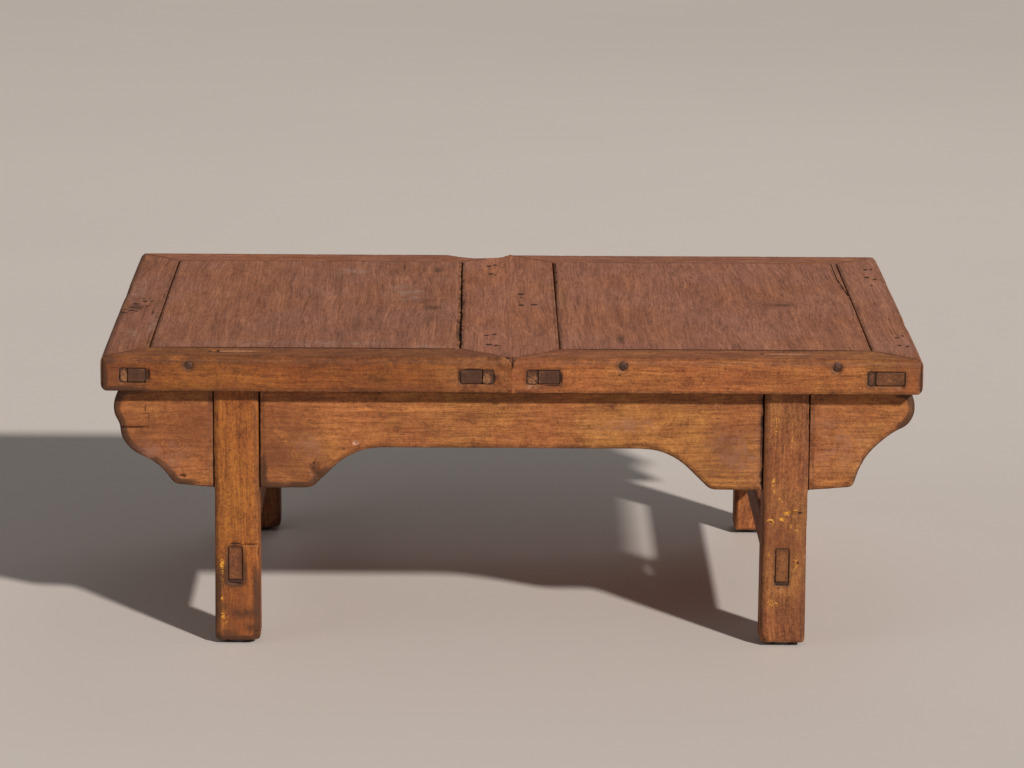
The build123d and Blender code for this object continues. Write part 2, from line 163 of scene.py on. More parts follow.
def tint(share, first, second, way="MIX"):
    """A colour from first to second by share. The share or the first colour is a wire."""
    tree = (share if isinstance(share, Wire) else first).tree
    settings = {"data_type": "RGBA", "blend_type": way, "clamp_factor": True}
    return node(tree, "ShaderNodeMix", settings, {"Factor": share, "A": first, "B": second}).out("Result_Color")


def glaze(colour, *coats):
    """The colour under coats of others, each a share and a colour."""
    for share, coat in coats:
        colour = tint(share, colour, coat)
    return colour


def noise(place, scale, detail, rough, seed):
    """Noise whose scale is one number, or one for each axis."""
    if not isinstance(scale, float):
        place, scale = vector("MULTIPLY", place, scale), 1.0
    sockets = {"Vector": place, "W": seed, "Scale": scale, "Detail": detail, "Roughness": rough}
    return node(place.tree, "ShaderNodeTexNoise", {"noise_dimensions": "4D"}, sockets)


def stir(place, by, reach):
    """The place, shaken along each axis by a noise."""
    return vector("ADD", place, vector("MULTIPLY", vector("SUBTRACT", by.out("Color"), (0.5, 0.5, 0.5)), reach))


def reach_from(place, centre, radii):
    """The distance from a centre, 1 where the radii end. Both are in millimetres."""
    away = vector("SUBTRACT", place, [c * MM for c in centre])
    return vector("LENGTH", vector("DIVIDE", away, [r * MM for r in radii])).out("Value")


def blot(place, spots, soft):
    """A mask that is 1 inside any of the spots, each a centre and three radii, with an edge this soft."""
    first, *others = (reach_from(place, *spot) for spot in spots)
    for other in others:
        first = first.least(other)
    return first.between(1.0, 1.0 - soft)


# ---- what a user would change

def colour_prop(name, description, default):
    return bpy.props.FloatVectorProperty(
        name=name, description=description, default=default, size=3, min=0.0, max=1.0, subtype="COLOR"
    )


def number_prop(name, description, default, low=0.0, high=None, **kind):
    limits = {"min": low} if high is None else {"min": low, "max": high}
    return bpy.props.FloatProperty(name=name, description=description, default=default, **limits, **kind)


class KangTableFinish(bpy.types.PropertyGroup):
    """Colours of the timber, iron and felt."""

    top_dark: colour_prop("Top, dark", "Dry brown of the table's upper face", (0.185, 0.066, 0.034))
    top_light: colour_prop("Top, light", "Paler streaks of the upper face", (0.350, 0.132, 0.062))
    top_mauve: colour_prop("Top, bloom", "Greyed bloom that lies on the upper face", (0.290, 0.122, 0.082))
    # front_dark also fills the dusk spots, among them painted shade at the left front rail's end
    front_dark: colour_prop("Front, dark", "Dark grain of the waxed faces", (0.150, 0.042, 0.013))
    front_light: colour_prop("Front, light", "Amber of the waxed faces", (0.400, 0.148, 0.042))
    front_red: colour_prop("Front, red", "Redder patches of the waxed faces", (0.290, 0.078, 0.026))
    worn_pale: colour_prop("Worn edges", "Pale wood where hands have rubbed the edges", (0.480, 0.225, 0.090))
    bloom: colour_prop("Bloom", "Greyish dust rubbed into the panels' edges", (0.375, 0.235, 0.185))
    grime: colour_prop("Grime", "Dark dirt in joints, pores and worm holes", (0.022, 0.009, 0.004))
    # end_grain also colours the painted shade on rounded arrises and rims
    end_grain: colour_prop("End grain", "Dark brown of tenon ends", (0.058, 0.021, 0.008))
    fresh: colour_prop("Chipped wood", "Raw wood where a splinter has broken away", (0.290, 0.122, 0.050))
    fleck: colour_prop("Flecks", "Old yellow paint specks on the legs", (0.720, 0.330, 0.030))
    ochre: colour_prop("Ochre", "Yellower patches of the waxed faces", (0.370, 0.158, 0.036))
    iron: colour_prop("Iron", "Dark hammered iron of the nails", (0.072, 0.034, 0.026))
    felt: colour_prop("Felt", "Felt pads under the feet", (0.120, 0.112, 0.112))


class KangTableWear(bpy.types.PropertyGroup):
    """How finely the timber is meshed and how worn it is."""

    mesh_pitch: number_prop("Mesh pitch", "Spacing of the fine mesh that carries the wear", 0.0016, 0.0008, 0.006,
                            unit="LENGTH")
    softening: number_prop("Arris softening", "Share of each sharp edge that is rubbed away", 0.75, 0.0, 1.0,
                           subtype="FACTOR")
    ripple: number_prop("Ripple", "Depth of the hand-planed unevenness", 0.0006, 0.0, 0.003, unit="LENGTH")
    nick: number_prop("Nicks", "Depth of the small nicks along the edges", 0.0011, 0.0, 0.004, unit="LENGTH")
    seed: bpy.props.IntProperty(name="Seed", description="Changes where wear falls", default=7, min=0)


class KangTableStage(bpy.types.PropertyGroup):
    """Floor, lights and lens."""

    floor: colour_prop("Floor", "Plain pale floor", (0.670, 0.605, 0.560))
    key_power: number_prop("Key light", "Strength of the soft light from front right", 3.6)
    key_spread: number_prop("Key spread", "Apparent size of the key light in degrees", 3.4, 0.5, 60.0)
    fill_power: number_prop("Fill light", "Power of each soft fill", 10.0, unit="POWER")
    sky: number_prop("Surroundings", "Strength of the even surrounding light", 0.14)
    lens: number_prop("Lens", "Focal length in millimetres on a 36 mm sensor", 155.6, 20.0,
                      subtype="DISTANCE_CAMERA")


# ---- materials

def surface(name):
    """A new material, a shader that is joined to its output, and the Object coordinates."""
    material = bpy.data.materials.new(name)
    material.use_nodes = True
    tree = material.node_tree
    tree.nodes.clear()
    shader = node(tree, "ShaderNodeBsdfPrincipled")
    node(tree, "ShaderNodeOutputMaterial", None, {"Surface": shader})
    return material, shader.socket.node, node(tree, "ShaderNodeTexCoord").out("Object")


def bump(height, distance, strength=0.6):
    """Relief in which a height of 1 stands for the distance, in metres."""
    return node(height.tree, "ShaderNodeBump", None, {"Strength": strength, "Distance": distance, "Height": height})


LEAN = 0.035                   # how far the pith runs off the grain, per metre
RINGS_PER_METRE = 190.0


def timber(name, axis, seed, pith, tone=(1.0, 1.0, 1.0), dry_tone=(1.0, 1.0, 1.0), spots=None,
           mottling=1.4, ends=0.9, tight=0.0, dryness=1.0, turn_in=0.62):
    """Old elm whose grain runs along axis: growth rings, fibres, pores, wear, grime and the marks in spots.

    The pith is where the rings centre, across the grain, in millimetres. The tones tint this board's waxed
    and its dry, upward faces. Mottling is the strength of its uneven colour, ends how dark its end grain is,
    tight how clean its joints are, dryness how far its upper face has lost its wax, and turn_in how far a
    face has to turn to the end of the board before it counts as end grain. Set low, turn_in also spreads the
    end grain's dark over the rounded corners beside the ends, as painted shade.
    """
    finish = bpy.context.scene.kang_finish
    spots = spots or {}
    material, shader, place = surface(name)
    tree = place.tree
    ways = split(node(tree, "ShaderNodeNewGeometry").out("Normal"))
    order = {"X": ("Y", "Z", "X"), "Y": ("X", "Z", "Y"), "Z": ("X", "Y", "Z")}[axis]
    parts = split(place)
    grain = node(tree, "ShaderNodeCombineXYZ", None, {to: parts.out(way) for to, way in zip("XYZ", order)})

    # The log: rings round the pith, which wander along its length and swell round a knot
    bent = stir(grain, noise(grain, (7.0, 7.0, 3.6), 3.0, 0.5, seed), (0.034, 0.034, 0.0))
    axes = split(bent)
    side = axes.out("X") - pith[0] * MM + axes.out("Z") * LEAN
    deep = axes.out("Y") - pith[1] * MM
    rings = ((side * side + deep * deep) ** 0.5) * RINGS_PER_METRE
    for knot in spots.get("knots", ()):
        rings = rings + reach_from(place, *knot).between(2.1, 0.0) * 4.2
    turn = rings.part()
    streak = noise(bent, (85.0, 85.0, 4.0), 4.0, 0.6, seed + 1.3)
    late = turn.between(0.45, 0.94) * turn.between(1.0, 0.965) * streak.between(0.34, 0.62)

    # Fibres, dashes and pores, all long in the grain
    fibre = noise(bent, (520.0, 520.0, 24.0), 3.0, 0.62, seed + 2.1)
    dashes = noise(bent, (330.0, 330.0, 30.0), 2.0, 0.5, seed + 2.9).between(0.60, 0.74)
    pores = noise(bent, (980.0, 980.0, 85.0), 1.0, 0.5, seed + 3.7).between(0.60, 0.72) * (0.45 + 0.55 * late)
    cloud = noise(grain, (30.0, 30.0, 10.0), 4.0, 0.6, seed + 4.9)
    patch = noise(place, 8.5, 3.0, 0.6, seed + 5.3)
    crumb = noise(place, 260.0, 3.0, 0.65, seed + 6.1)
    scuff = noise(place, 55.0, 4.0, 0.65, seed + 7.7)
    smudge = noise(grain, (150.0, 150.0, 70.0), 2.0, 0.5, seed + 8.3)
    drawn_out, thread = ((60.0, 60.0, 11.0), (430.0, 430.0, 7.0)) if axis == "Y" else (
        (60.0, 60.0, 46.0), (330.0, 330.0, 15.0))
    mottle = noise(grain, drawn_out, 4.0, 0.95, seed + 10.7)
    strand = noise(bent, thread, 2.0, 0.9, seed + 11.9)
    grit = noise(place, 620.0, 1.0, 0.5, seed + 12.3)
    shade = 1.0 + (mottle - 0.5) * mottling + (strand - 0.5) * 1.5
    shade = (shade + ((crumb - 0.5) + (grit - 0.5)) * 0.55 * mottling).most(0.3)
    shading = node(tree, "ShaderNodeCombineXYZ", None, {"X": shade, "Y": shade ** 1.22, "Z": shade ** 1.38})

    # Waxed faces, and dry ones that look upward
    waxed = glaze(
        tint(streak.between(0.26, 0.72), finish.front_dark, finish.front_light),
        (0.42, finish.front_light),
        (patch.between(0.42, 0.64) * 0.55, finish.front_red),
        (patch.between(0.50, 0.34) * 0.55, finish.ochre),
        (late * 0.20, finish.front_dark),
        (dashes * 0.25, finish.front_dark),
        (cloud.between(0.48, 0.76) * 0.5, finish.front_dark),
        (smudge.between(0.66, 0.78) * 0.55, finish.front_dark),
    )
    dry = glaze(
        tint(streak.between(0.30, 0.70), finish.top_dark, finish.top_light),
        (0.30, finish.top_light),
        (patch.between(0.38, 0.62) * 0.6, finish.top_mauve),
        (late * 0.20, finish.top_dark),
        (dashes * 0.26, finish.top_dark),
        (cloud.between(0.50, 0.78) * 0.4, finish.top_dark),
    )
    upward = (ways.out("Z") + (scuff - 0.5) * 0.25).between(0.62, 0.93)
    colour = tint(upward * dryness, tint(1.0, waxed, tone, "MULTIPLY"), tint(1.0, dry, dry_tone, "MULTIPLY"))
    colour = tint(fibre.between(0.34, 0.70) * 0.34, colour, (0.60, 0.55, 0.52), "MULTIPLY")

    # Ends of the boards: short, dark and speckled
    # Where turn_in is low, the end grain's dark also covers the rounded corners beside the ends, as painted shade
    along = ways.out(axis).size().between(turn_in, turn_in + 0.26)
    cut = glaze(
        tint(crumb.between(0.40, 0.66) * 0.45, finish.end_grain, finish.top_dark),
        (scuff.between(0.50, 0.70) * 0.15, finish.top_mauve),
        (late * 0.45, finish.grime),
    )
    colour = tint(1.0, tint(along * ends, colour, cut), shading, "MULTIPLY")

    # Rubbed arrises are pale, inner corners, joints and pores are dark, and the rounded arrises carry painted shade
    # in the end grain's colour
    arris, fresh, joint = (node(tree, "ShaderNodeAttribute", {"attribute_name": kept}).out("Fac")
                           for kept in ("arris", "fresh", "joint"))
    # rim: painted shade along the rounded arrises
    rim = arris.between(0.05, 0.36) * (1.0 - joint)
    rubbed = arris.between(0.30, 0.80) * scuff.between(0.48, 0.62) * (1.0 - joint)
    packed = joint.between(0.75 * tight, 1.0) * (0.4 + 0.6 * crumb.between(0.36, 0.56)) * (1.0 - upward * tight)
    speck = crumb.between(0.66, 0.74) * cloud.between(0.45, 0.62)

    # Thin scratches, the contours of a drawn-out noise
    slant = node(tree, "ShaderNodeMapping", None, {"Vector": place, "Rotation": (0.3, 0.5, 0.7 + seed)})
    drawn = noise(slant, (9.0, 70.0, 24.0), 1.0, 0.4, seed + 9.1)
    scratch = (drawn - 0.5).size().between(0.0045, 0.001) * scuff.between(0.52, 0.60)
    colour = glaze(
        colour,
        (rim * scuff.between(0.76, 0.40) * 0.45, finish.end_grain),
        (rubbed * 0.26, finish.worn_pale),
        (arris.between(-0.10, -0.55) * 0.9, finish.grime),
        (packed * 0.92, finish.grime),
        (pores * 0.55, finish.grime),
        (speck * 0.45, finish.grime),
        (scratch * 0.30, finish.worn_pale),
    )

    # Marks that belong to one board only
    shaken = stir(place, scuff, (0.009, 0.009, 0.009))
    ragged = stir(place, crumb, (0.0018, 0.0018, 0.0018))
    depth = fibre * 0.20 + scuff * 0.12 - pores * 0.30 - dashes * 0.18 - late * 0.08 - scratch * 0.2
    depth = depth + mottle * 0.5 + strand * 0.3
    for knot in spots.get("knots", ()):
        reach = reach_from(shaken, *knot)
        figure = (reach * 4.3 + streak * 3.0).part().between(0.30, 0.85) * reach.between(1.5, 0.7)
        colour = tint(figure * 0.46 + reach.between(0.7, 0.1) * 0.36, colour, finish.front_dark)
    # Dusk spots darken broad patches towards the front's dark; at the left front rail's end this is painted shade
    if "dusk" in spots:
        gloom = blot(shaken, spots["dusk"], 0.95) * (0.35 + 0.65 * scuff.between(0.35, 0.62))
        colour = tint(gloom * 0.72, colour, finish.front_dark)
    # Stain spots: real stains, and painted shade at the left front rail's upper left corner
    if "stains_and_shade" in spots:
        stain_and_shade = blot(shaken, spots["stains_and_shade"], 0.9) * (0.5 + 0.5 * crumb.between(0.38, 0.56))
        colour = tint(stain_and_shade * 0.85, colour, finish.end_grain)
    # Rim spots, held in worn: the rounded edges within them darken towards the end grain's colour, painted shade on
    # edges such as the left ends and the lower edges
    if "rims" in spots:
        worn = blot(ragged, spots["rims"], 0.3) * arris.between(0.0, 0.09)
        colour = tint(worn * (0.7 + 0.3 * scuff.between(0.36, 0.6)) * 0.9, colour, finish.end_grain)
    if "bloom" in spots:
        dust = blot(shaken, spots["bloom"], 0.95) * scuff.between(0.38, 0.62) * mottle.between(0.34, 0.56)
        colour = tint(dust * 0.72, colour, spots.get("dust", finish.bloom))
    if "pale" in spots:
        gouge = blot(ragged, spots["pale"], 0.5)
        colour = tint(gouge * (0.35 + 0.6 * fibre), colour, (0.58, 0.31, 0.20))
    if "flecks" in spots:
        dab = blot(ragged, spots["flecks"], 0.6) * grit.between(0.54, 0.61) * 0.7
        dab = dab.most(blot(ragged, spots["paint"], 0.6) * grit.between(0.43, 0.52))
        colour = tint(dab * 0.9, colour, finish.fleck)
        depth = depth + dab * 0.3
    colour = tint(fresh * crumb.between(0.36, 0.56) * 0.9, colour, finish.fresh)
    dullness = 0.54 + upward * 0.12 + scuff * 0.16 - rubbed * 0.08 + pores * 0.10 + along * 0.10
    if "holes" in spots:
        hole = blot(ragged, spots["holes"], 0.5)
        colour = tint(hole * 0.95, colour, (0.045, 0.014, 0.005))
        depth = depth - hole * 1.6
        dullness = dullness + hole * 0.3
    connect(shader, {
        "Base Color": colour, "Roughness": dullness, "Normal": bump(depth, 0.0009), "Specular IOR Level": 0.36,
    })
    return material


def hammered_iron(name):
    """Nail iron: dark, pitted, brightest where the hammer and hands have polished it."""
    finish = bpy.context.scene.kang_finish
    material, shader, place = surface(name)
    beat = noise(place, 420.0, 2.0, 0.5, 3.0)
    pit = noise(place, 1700.0, 3.0, 0.6, 5.0)
    rust = noise(place, 800.0, 3.0, 0.6, 9.0)
    colour = tint(rust.between(0.44, 0.66), finish.iron, (0.115, 0.046, 0.024))
    colour = tint(beat.between(0.52, 0.74) * 0.35, colour, (0.170, 0.110, 0.082))
    connect(shader, {
        "Base Color": colour, "Roughness": 0.42 + pit * 0.3, "Metallic": 0.75 - rust.between(0.44, 0.66) * 0.6,
        "Normal": bump(beat + pit * 0.5, 0.0006),
    })
    return material


def pressed_felt(name):
    """Grey felt: matted fibres, darker in places, with paler clumps."""
    finish = bpy.context.scene.kang_finish
    material, shader, place = surface(name)
    mat = noise(place, 900.0, 4.0, 0.7, 2.0)
    clump = noise(place, 160.0, 2.0, 0.5, 4.0)
    colour = tint(mat.between(0.38, 0.64), [0.45 * c for c in finish.felt], finish.felt)
    colour = tint(clump.between(0.48, 0.70) * 0.4, colour, [1.7 * c for c in finish.felt])
    connect(shader, {"Base Color": colour, "Roughness": 0.94 - mat * 0.08, "Normal": bump(mat + clump, 0.0008, 0.8)})
    return material


def pale_floor(name):
    stage = bpy.context.scene.kang_stage
    material, shader, place = surface(name)
    cloud = noise(place, 1.3, 4.0, 0.6, 1.0)
    colour = tint(cloud.between(0.35, 0.7) * 0.35, stage.floor, [0.93 * c for c in stage.floor])
    connect(shader, {"Base Color": colour, "Roughness": 0.62 + cloud * 0.1})
    return material


# ---- Geometry Nodes

def new_tree(name, inputs):
    """A geometry tree and the node of its inputs, each a name, a socket type and a default."""
    tree = bpy.data.node_groups.new(name, "GeometryNodeTree")
    tree.is_modifier = True
    tree.interface.new_socket("Geometry", in_out="INPUT", socket_type="NodeSocketGeometry")
    for label, kind, default in inputs:
        socket = tree.interface.new_socket(label, in_out="INPUT", socket_type="NodeSocket" + kind)
        if default is not None:
            socket.default_value = default
    tree.interface.new_socket("Geometry", in_out="OUTPUT", socket_type="NodeSocketGeometry")
    return tree, node(tree, "NodeGroupInput")


def close_tree(tree, geometry, finish):
    whole = node(tree, "GeometryNodeRealizeInstances", None, {"Geometry": geometry})
    done = node(tree, "GeometryNodeSetMaterial", None, {"Geometry": whole, "Material": finish})
    node(tree, "NodeGroupOutput", None, {"Geometry": done})


def keep(geometry, name, value):
    """Stores a number at every point under this name."""
    settings = {"data_type": "FLOAT", "domain": "POINT"}
    sockets = {"Geometry": geometry, "Name": name, "Value": value}
    return node(geometry.tree, "GeometryNodeStoreNamedAttribute", settings, sockets)


def shifted(geometry, offset):
    return node(geometry.tree, "GeometryNodeSetPosition", None, {"Geometry": geometry, "Offset": offset})


def shape_of(thing):
    return node(thing.tree, "GeometryNodeObjectInfo", None, {"Object": thing}).out("Geometry")


def worn_timber_tree():
    """Rubs the arrises away from joints, ripples and nicks the faces, and keeps "arris" and "joint"."""
    found = bpy.data.node_groups.get("Worn timber")
    if found:
        return found
    tree, start = new_tree("Worn timber", [
        ("Softening", "Float", 0.75),
        ("Passes", "Int", 8),
        ("Ripple", "Float", 0.0006),
        ("Ripple scale", "Vector", (14.0, 14.0, 14.0)),
        ("Nick", "Float", 0.0011),
        ("Neighbours", "Object", None),
        ("Seed", "Float", 7.0),
        ("Finish", "Material", None),
    ])
    place = node(tree, "GeometryNodeInputPosition")
    outward = node(tree, "GeometryNodeInputNormal")
    seed = start.out("Seed")
    gap = node(tree, "GeometryNodeProximity", {"target_element": "FACES"},
               {"Target": shape_of(start.out("Neighbours"))}).out("Distance")
    free = 1.0 - gap.between(3.2 * MM, 0.9 * MM)

    rubbed = node(tree, "GeometryNodeBlurAttribute", {"data_type": "FLOAT_VECTOR"},
                  {"Value": place, "Iterations": start.out("Passes")})
    pull = vector("SUBTRACT", rubbed, place)
    sharp = vector("DOT_PRODUCT", pull, outward).out("Value") * (-1.0 / MM)
    noted = keep(start.out("Geometry"), "arris", sharp)
    noted = keep(noted, "joint", gap.between(2.4 * MM, 0.5 * MM))
    uneven = noise(place, 38.0, 3.0, 0.55, seed)
    soft = shifted(noted, scaled(pull, start.out("Softening") * (0.45 + 1.1 * uneven) * free))

    wave = noise(place, start.out("Ripple scale"), 2.0, 0.5, seed + 3.0)
    bite = noise(place, 130.0, 3.0, 0.6, seed + 11.0).between(0.60, 0.74)
    edge = sharp.between(0.10, 0.45) * free
    sink = start.out("Ripple") * wave * free + start.out("Nick") * bite * edge
    dented = shifted(soft, scaled(outward, sink * -1.0))
    smooth = node(tree, "GeometryNodeSetShadeSmooth", None, {"Geometry": dented})
    close_tree(tree, smooth, start.out("Finish"))
    return tree


def set_out_tree():
    """Sets a shape on every point, each turned a little differently about the given axis."""
    found = bpy.data.node_groups.get("Set out on points")
    if found:
        return found
    tree, start = new_tree("Set out on points", [
        ("Shape", "Object", None),
        ("Turn about", "Vector", (0.0, 0.0, 1.0)),
        ("Size spread", "Float", 0.05),
        ("Seed", "Int", 7),
        ("Finish", "Material", None),
    ])
    angle, swell = (
        node(tree, "FunctionNodeRandomValue", {"data_type": "FLOAT"},
             {"Min": 0.0, "Max": most, "Seed": start.out("Seed")}).out("Value_001") for most in (2.0 * math.pi, 1.0))
    set_out = node(tree, "GeometryNodeInstanceOnPoints", None, {
        "Points": start.out("Geometry"), "Instance": shape_of(start.out("Shape")),
        "Rotation": scaled(start.out("Turn about"), angle), "Scale": 1.0 - start.out("Size spread") * swell,
    })
    close_tree(tree, set_out, start.out("Finish"))
    return tree


def shape_with(piece, tree, values):
    """Gives the piece a geometry tree and its inputs by socket identifier."""
    modifier = piece.modifiers.new(tree.name, "NODES")
    modifier.node_group = tree
    for socket in tree.interface.items_tree:
        if socket.in_out == "INPUT" and socket.name in values:
            modifier[socket.identifier] = values[socket.name]


def settle(piece):
    """Makes the evaluated shape the piece's plain mesh."""
    bpy.context.view_layer.update()
    depsgraph = bpy.context.evaluated_depsgraph_get()
    mesh = bpy.data.meshes.new_from_object(piece.evaluated_get(depsgraph))
    mesh.name = piece.name
    piece.modifiers.clear()
    piece.data = mesh


# ---- wear cut in at listed places

# Faces of the table, half the open line between its leaves, and how far off it counts as near, in millimetres
TOP, UNDERSIDE = 332.0, 292.0
MIDDLE = (TOP + UNDERSIDE) / 2.0
HALF_LENGTH, HALF_DEPTH = 450.0, 300.0
FRONT, APRON_FACE, LEG_FACE = -300.0, -276.0, -279.0
HALF_SEAM, NEAR_SEAM = 0.03, 4.0


def drift(points, pitch, seed):
    """Smooth noise from -1 to 1 at points, with its pitch in the points' own unit."""
    grid = points / np.array(pitch, float) + seed * 17.31
    cell = np.floor(grid).astype(np.int64)
    part = grid - cell
    part = part * part * (3.0 - 2.0 * part)
    total = np.zeros(len(points))
    for corner in itertools.product((0, 1), repeat=3):
        c = cell + np.array(corner)
        h = (c[:, 0] * 73856093) ^ (c[:, 1] * 19349663) ^ (c[:, 2] * 83492791)
        h = (h ^ (h >> 13)) * 1274126177
        value = ((h ^ (h >> 16)) & 65535) / 32767.5 - 1.0
        near = np.where(np.array(corner) == 1, part, 1.0 - part).prod(axis=1)
        total += value * near
    return total


def smooth_step(value):
    value = np.clip(value, 0.0, 1.0)
    return value * value * (3.0 - 2.0 * value)


def inside(points, centre, radii, steep, rough, pitch, seed):
    """The share of each point that lies in an ellipsoid with an uneven edge, all in millimetres."""
    reach = np.sqrt((((points - np.array(centre)) / np.array(radii)) ** 2).sum(axis=1))
    reach = reach + rough * drift(points, (pitch,) * 3, seed)
    return smooth_step((1.0 - reach) / steep)


def scoop(points, centre, radii, push, rough=0.35, steep=0.5):
    """Presses in the points within an ellipsoid by push, all in millimetres."""
    share = inside(points, centre, radii, steep, rough, 2.6, centre[0] * 0.13)
    points += share[:, None] * np.array(push, float)


def fray(points, start, end, reach, push, pitch=4.0):
    """Breaks away an edge that runs from start to end, by push at its worst. Returns the share of each point."""
    a, b = np.array(start, float), np.array(end, float)
    run = b - a
    t = np.clip(((points - a) @ run) / (run @ run), 0.0, 1.0)
    away = np.linalg.norm(points - (a + t[:, None] * run), axis=1)
    torn = drift(points, (pitch, pitch, pitch), 3.3) * 0.6 + drift(points, (pitch * 4,) * 3, 5.1) * 0.6
    share = smooth_step(1.0 - away / reach) * np.clip(0.35 + torn, 0.0, 1.0)
    points += share[:, None] * np.array(push, float)
    return share


def square_up(points):
    """Brings the arrises along the meeting of the two leaves back to crisp, unworn edges."""
    x, y, z = points.T
    for axis, face in ((1, FRONT), (2, TOP), (2, UNDERSIDE)):
        close = (np.abs(x) < NEAR_SEAM) & (np.abs(points[:, axis] - face) < 1.5)
        points[close, axis] = face
    meeting = np.abs(x) < np.where((y < FRONT + 1.5) | (z < UNDERSIDE + 1.5), 2.4, 1.2)
    points[meeting, 0] = np.sign(x[meeting]) * HALF_SEAM


def ease_corner(points):
    """Rounds the outer corners of the top as the front shows them, fading out along the sides."""
    radius, depth = 10.0, 70.0
    x, y, z = points.T
    out = np.abs(x) - (HALF_LENGTH - radius)
    up = np.abs(z - MIDDLE) - (TOP - MIDDLE - radius)
    reach = np.hypot(out, up)
    share = smooth_step((np.abs(y) - HALF_DEPTH + depth) / depth)
    past = (out > 0.0) & (up > 0.0) & (reach > radius)
    pull = np.where(past, share * (1.0 - radius / np.maximum(reach, radius)), 0.0)
    points[:, 0] -= pull * out * np.sign(x)
    points[:, 2] -= pull * up * np.sign(z - MIDDLE)


def crisp_seam(mesh, points):
    """Shades the faces on both sides of the leaves' meeting on their own, so that no line shows there."""
    ends = np.empty(len(mesh.edges) * 2, dtype=np.int32)
    mesh.edges.foreach_get("vertices", ends)
    x, y, z = points.T
    outside = (y < FRONT + 0.1) | (z > TOP - 0.1) | (z < UNDERSIDE + 0.1)
    sharp = ((np.abs(x) < HALF_SEAM * 1.5) & outside)[ends].reshape(-1, 2).all(axis=1)
    if sharp.any():
        attribute = mesh.attributes.get("sharp_edge") or mesh.attributes.new("sharp_edge", "BOOLEAN", "EDGE")
        attribute.data.foreach_set("value", sharp)


def wane(points):
    """The missing corner of the log along the back edge, beside the meeting of the two leaves."""
    x, y, z = points.T
    stations = (-86.0, -74.0, -58.0, -42.0, -24.0, -11.0, 0.0)
    width = np.interp(x, stations, (0.0, 3.0, 16.0, 24.0, 22.0, 17.0, 5.0))
    beyond = y - (HALF_DEPTH - width) + 0.9 * drift(points, (9.0, 6.0, 9.0), 2.2)
    limit = TOP - 0.43 * np.maximum(beyond, 0.0)
    cut = (beyond > 0.0) & (z > limit) & (x < 0.0)
    points[cut, 2] = limit[cut]


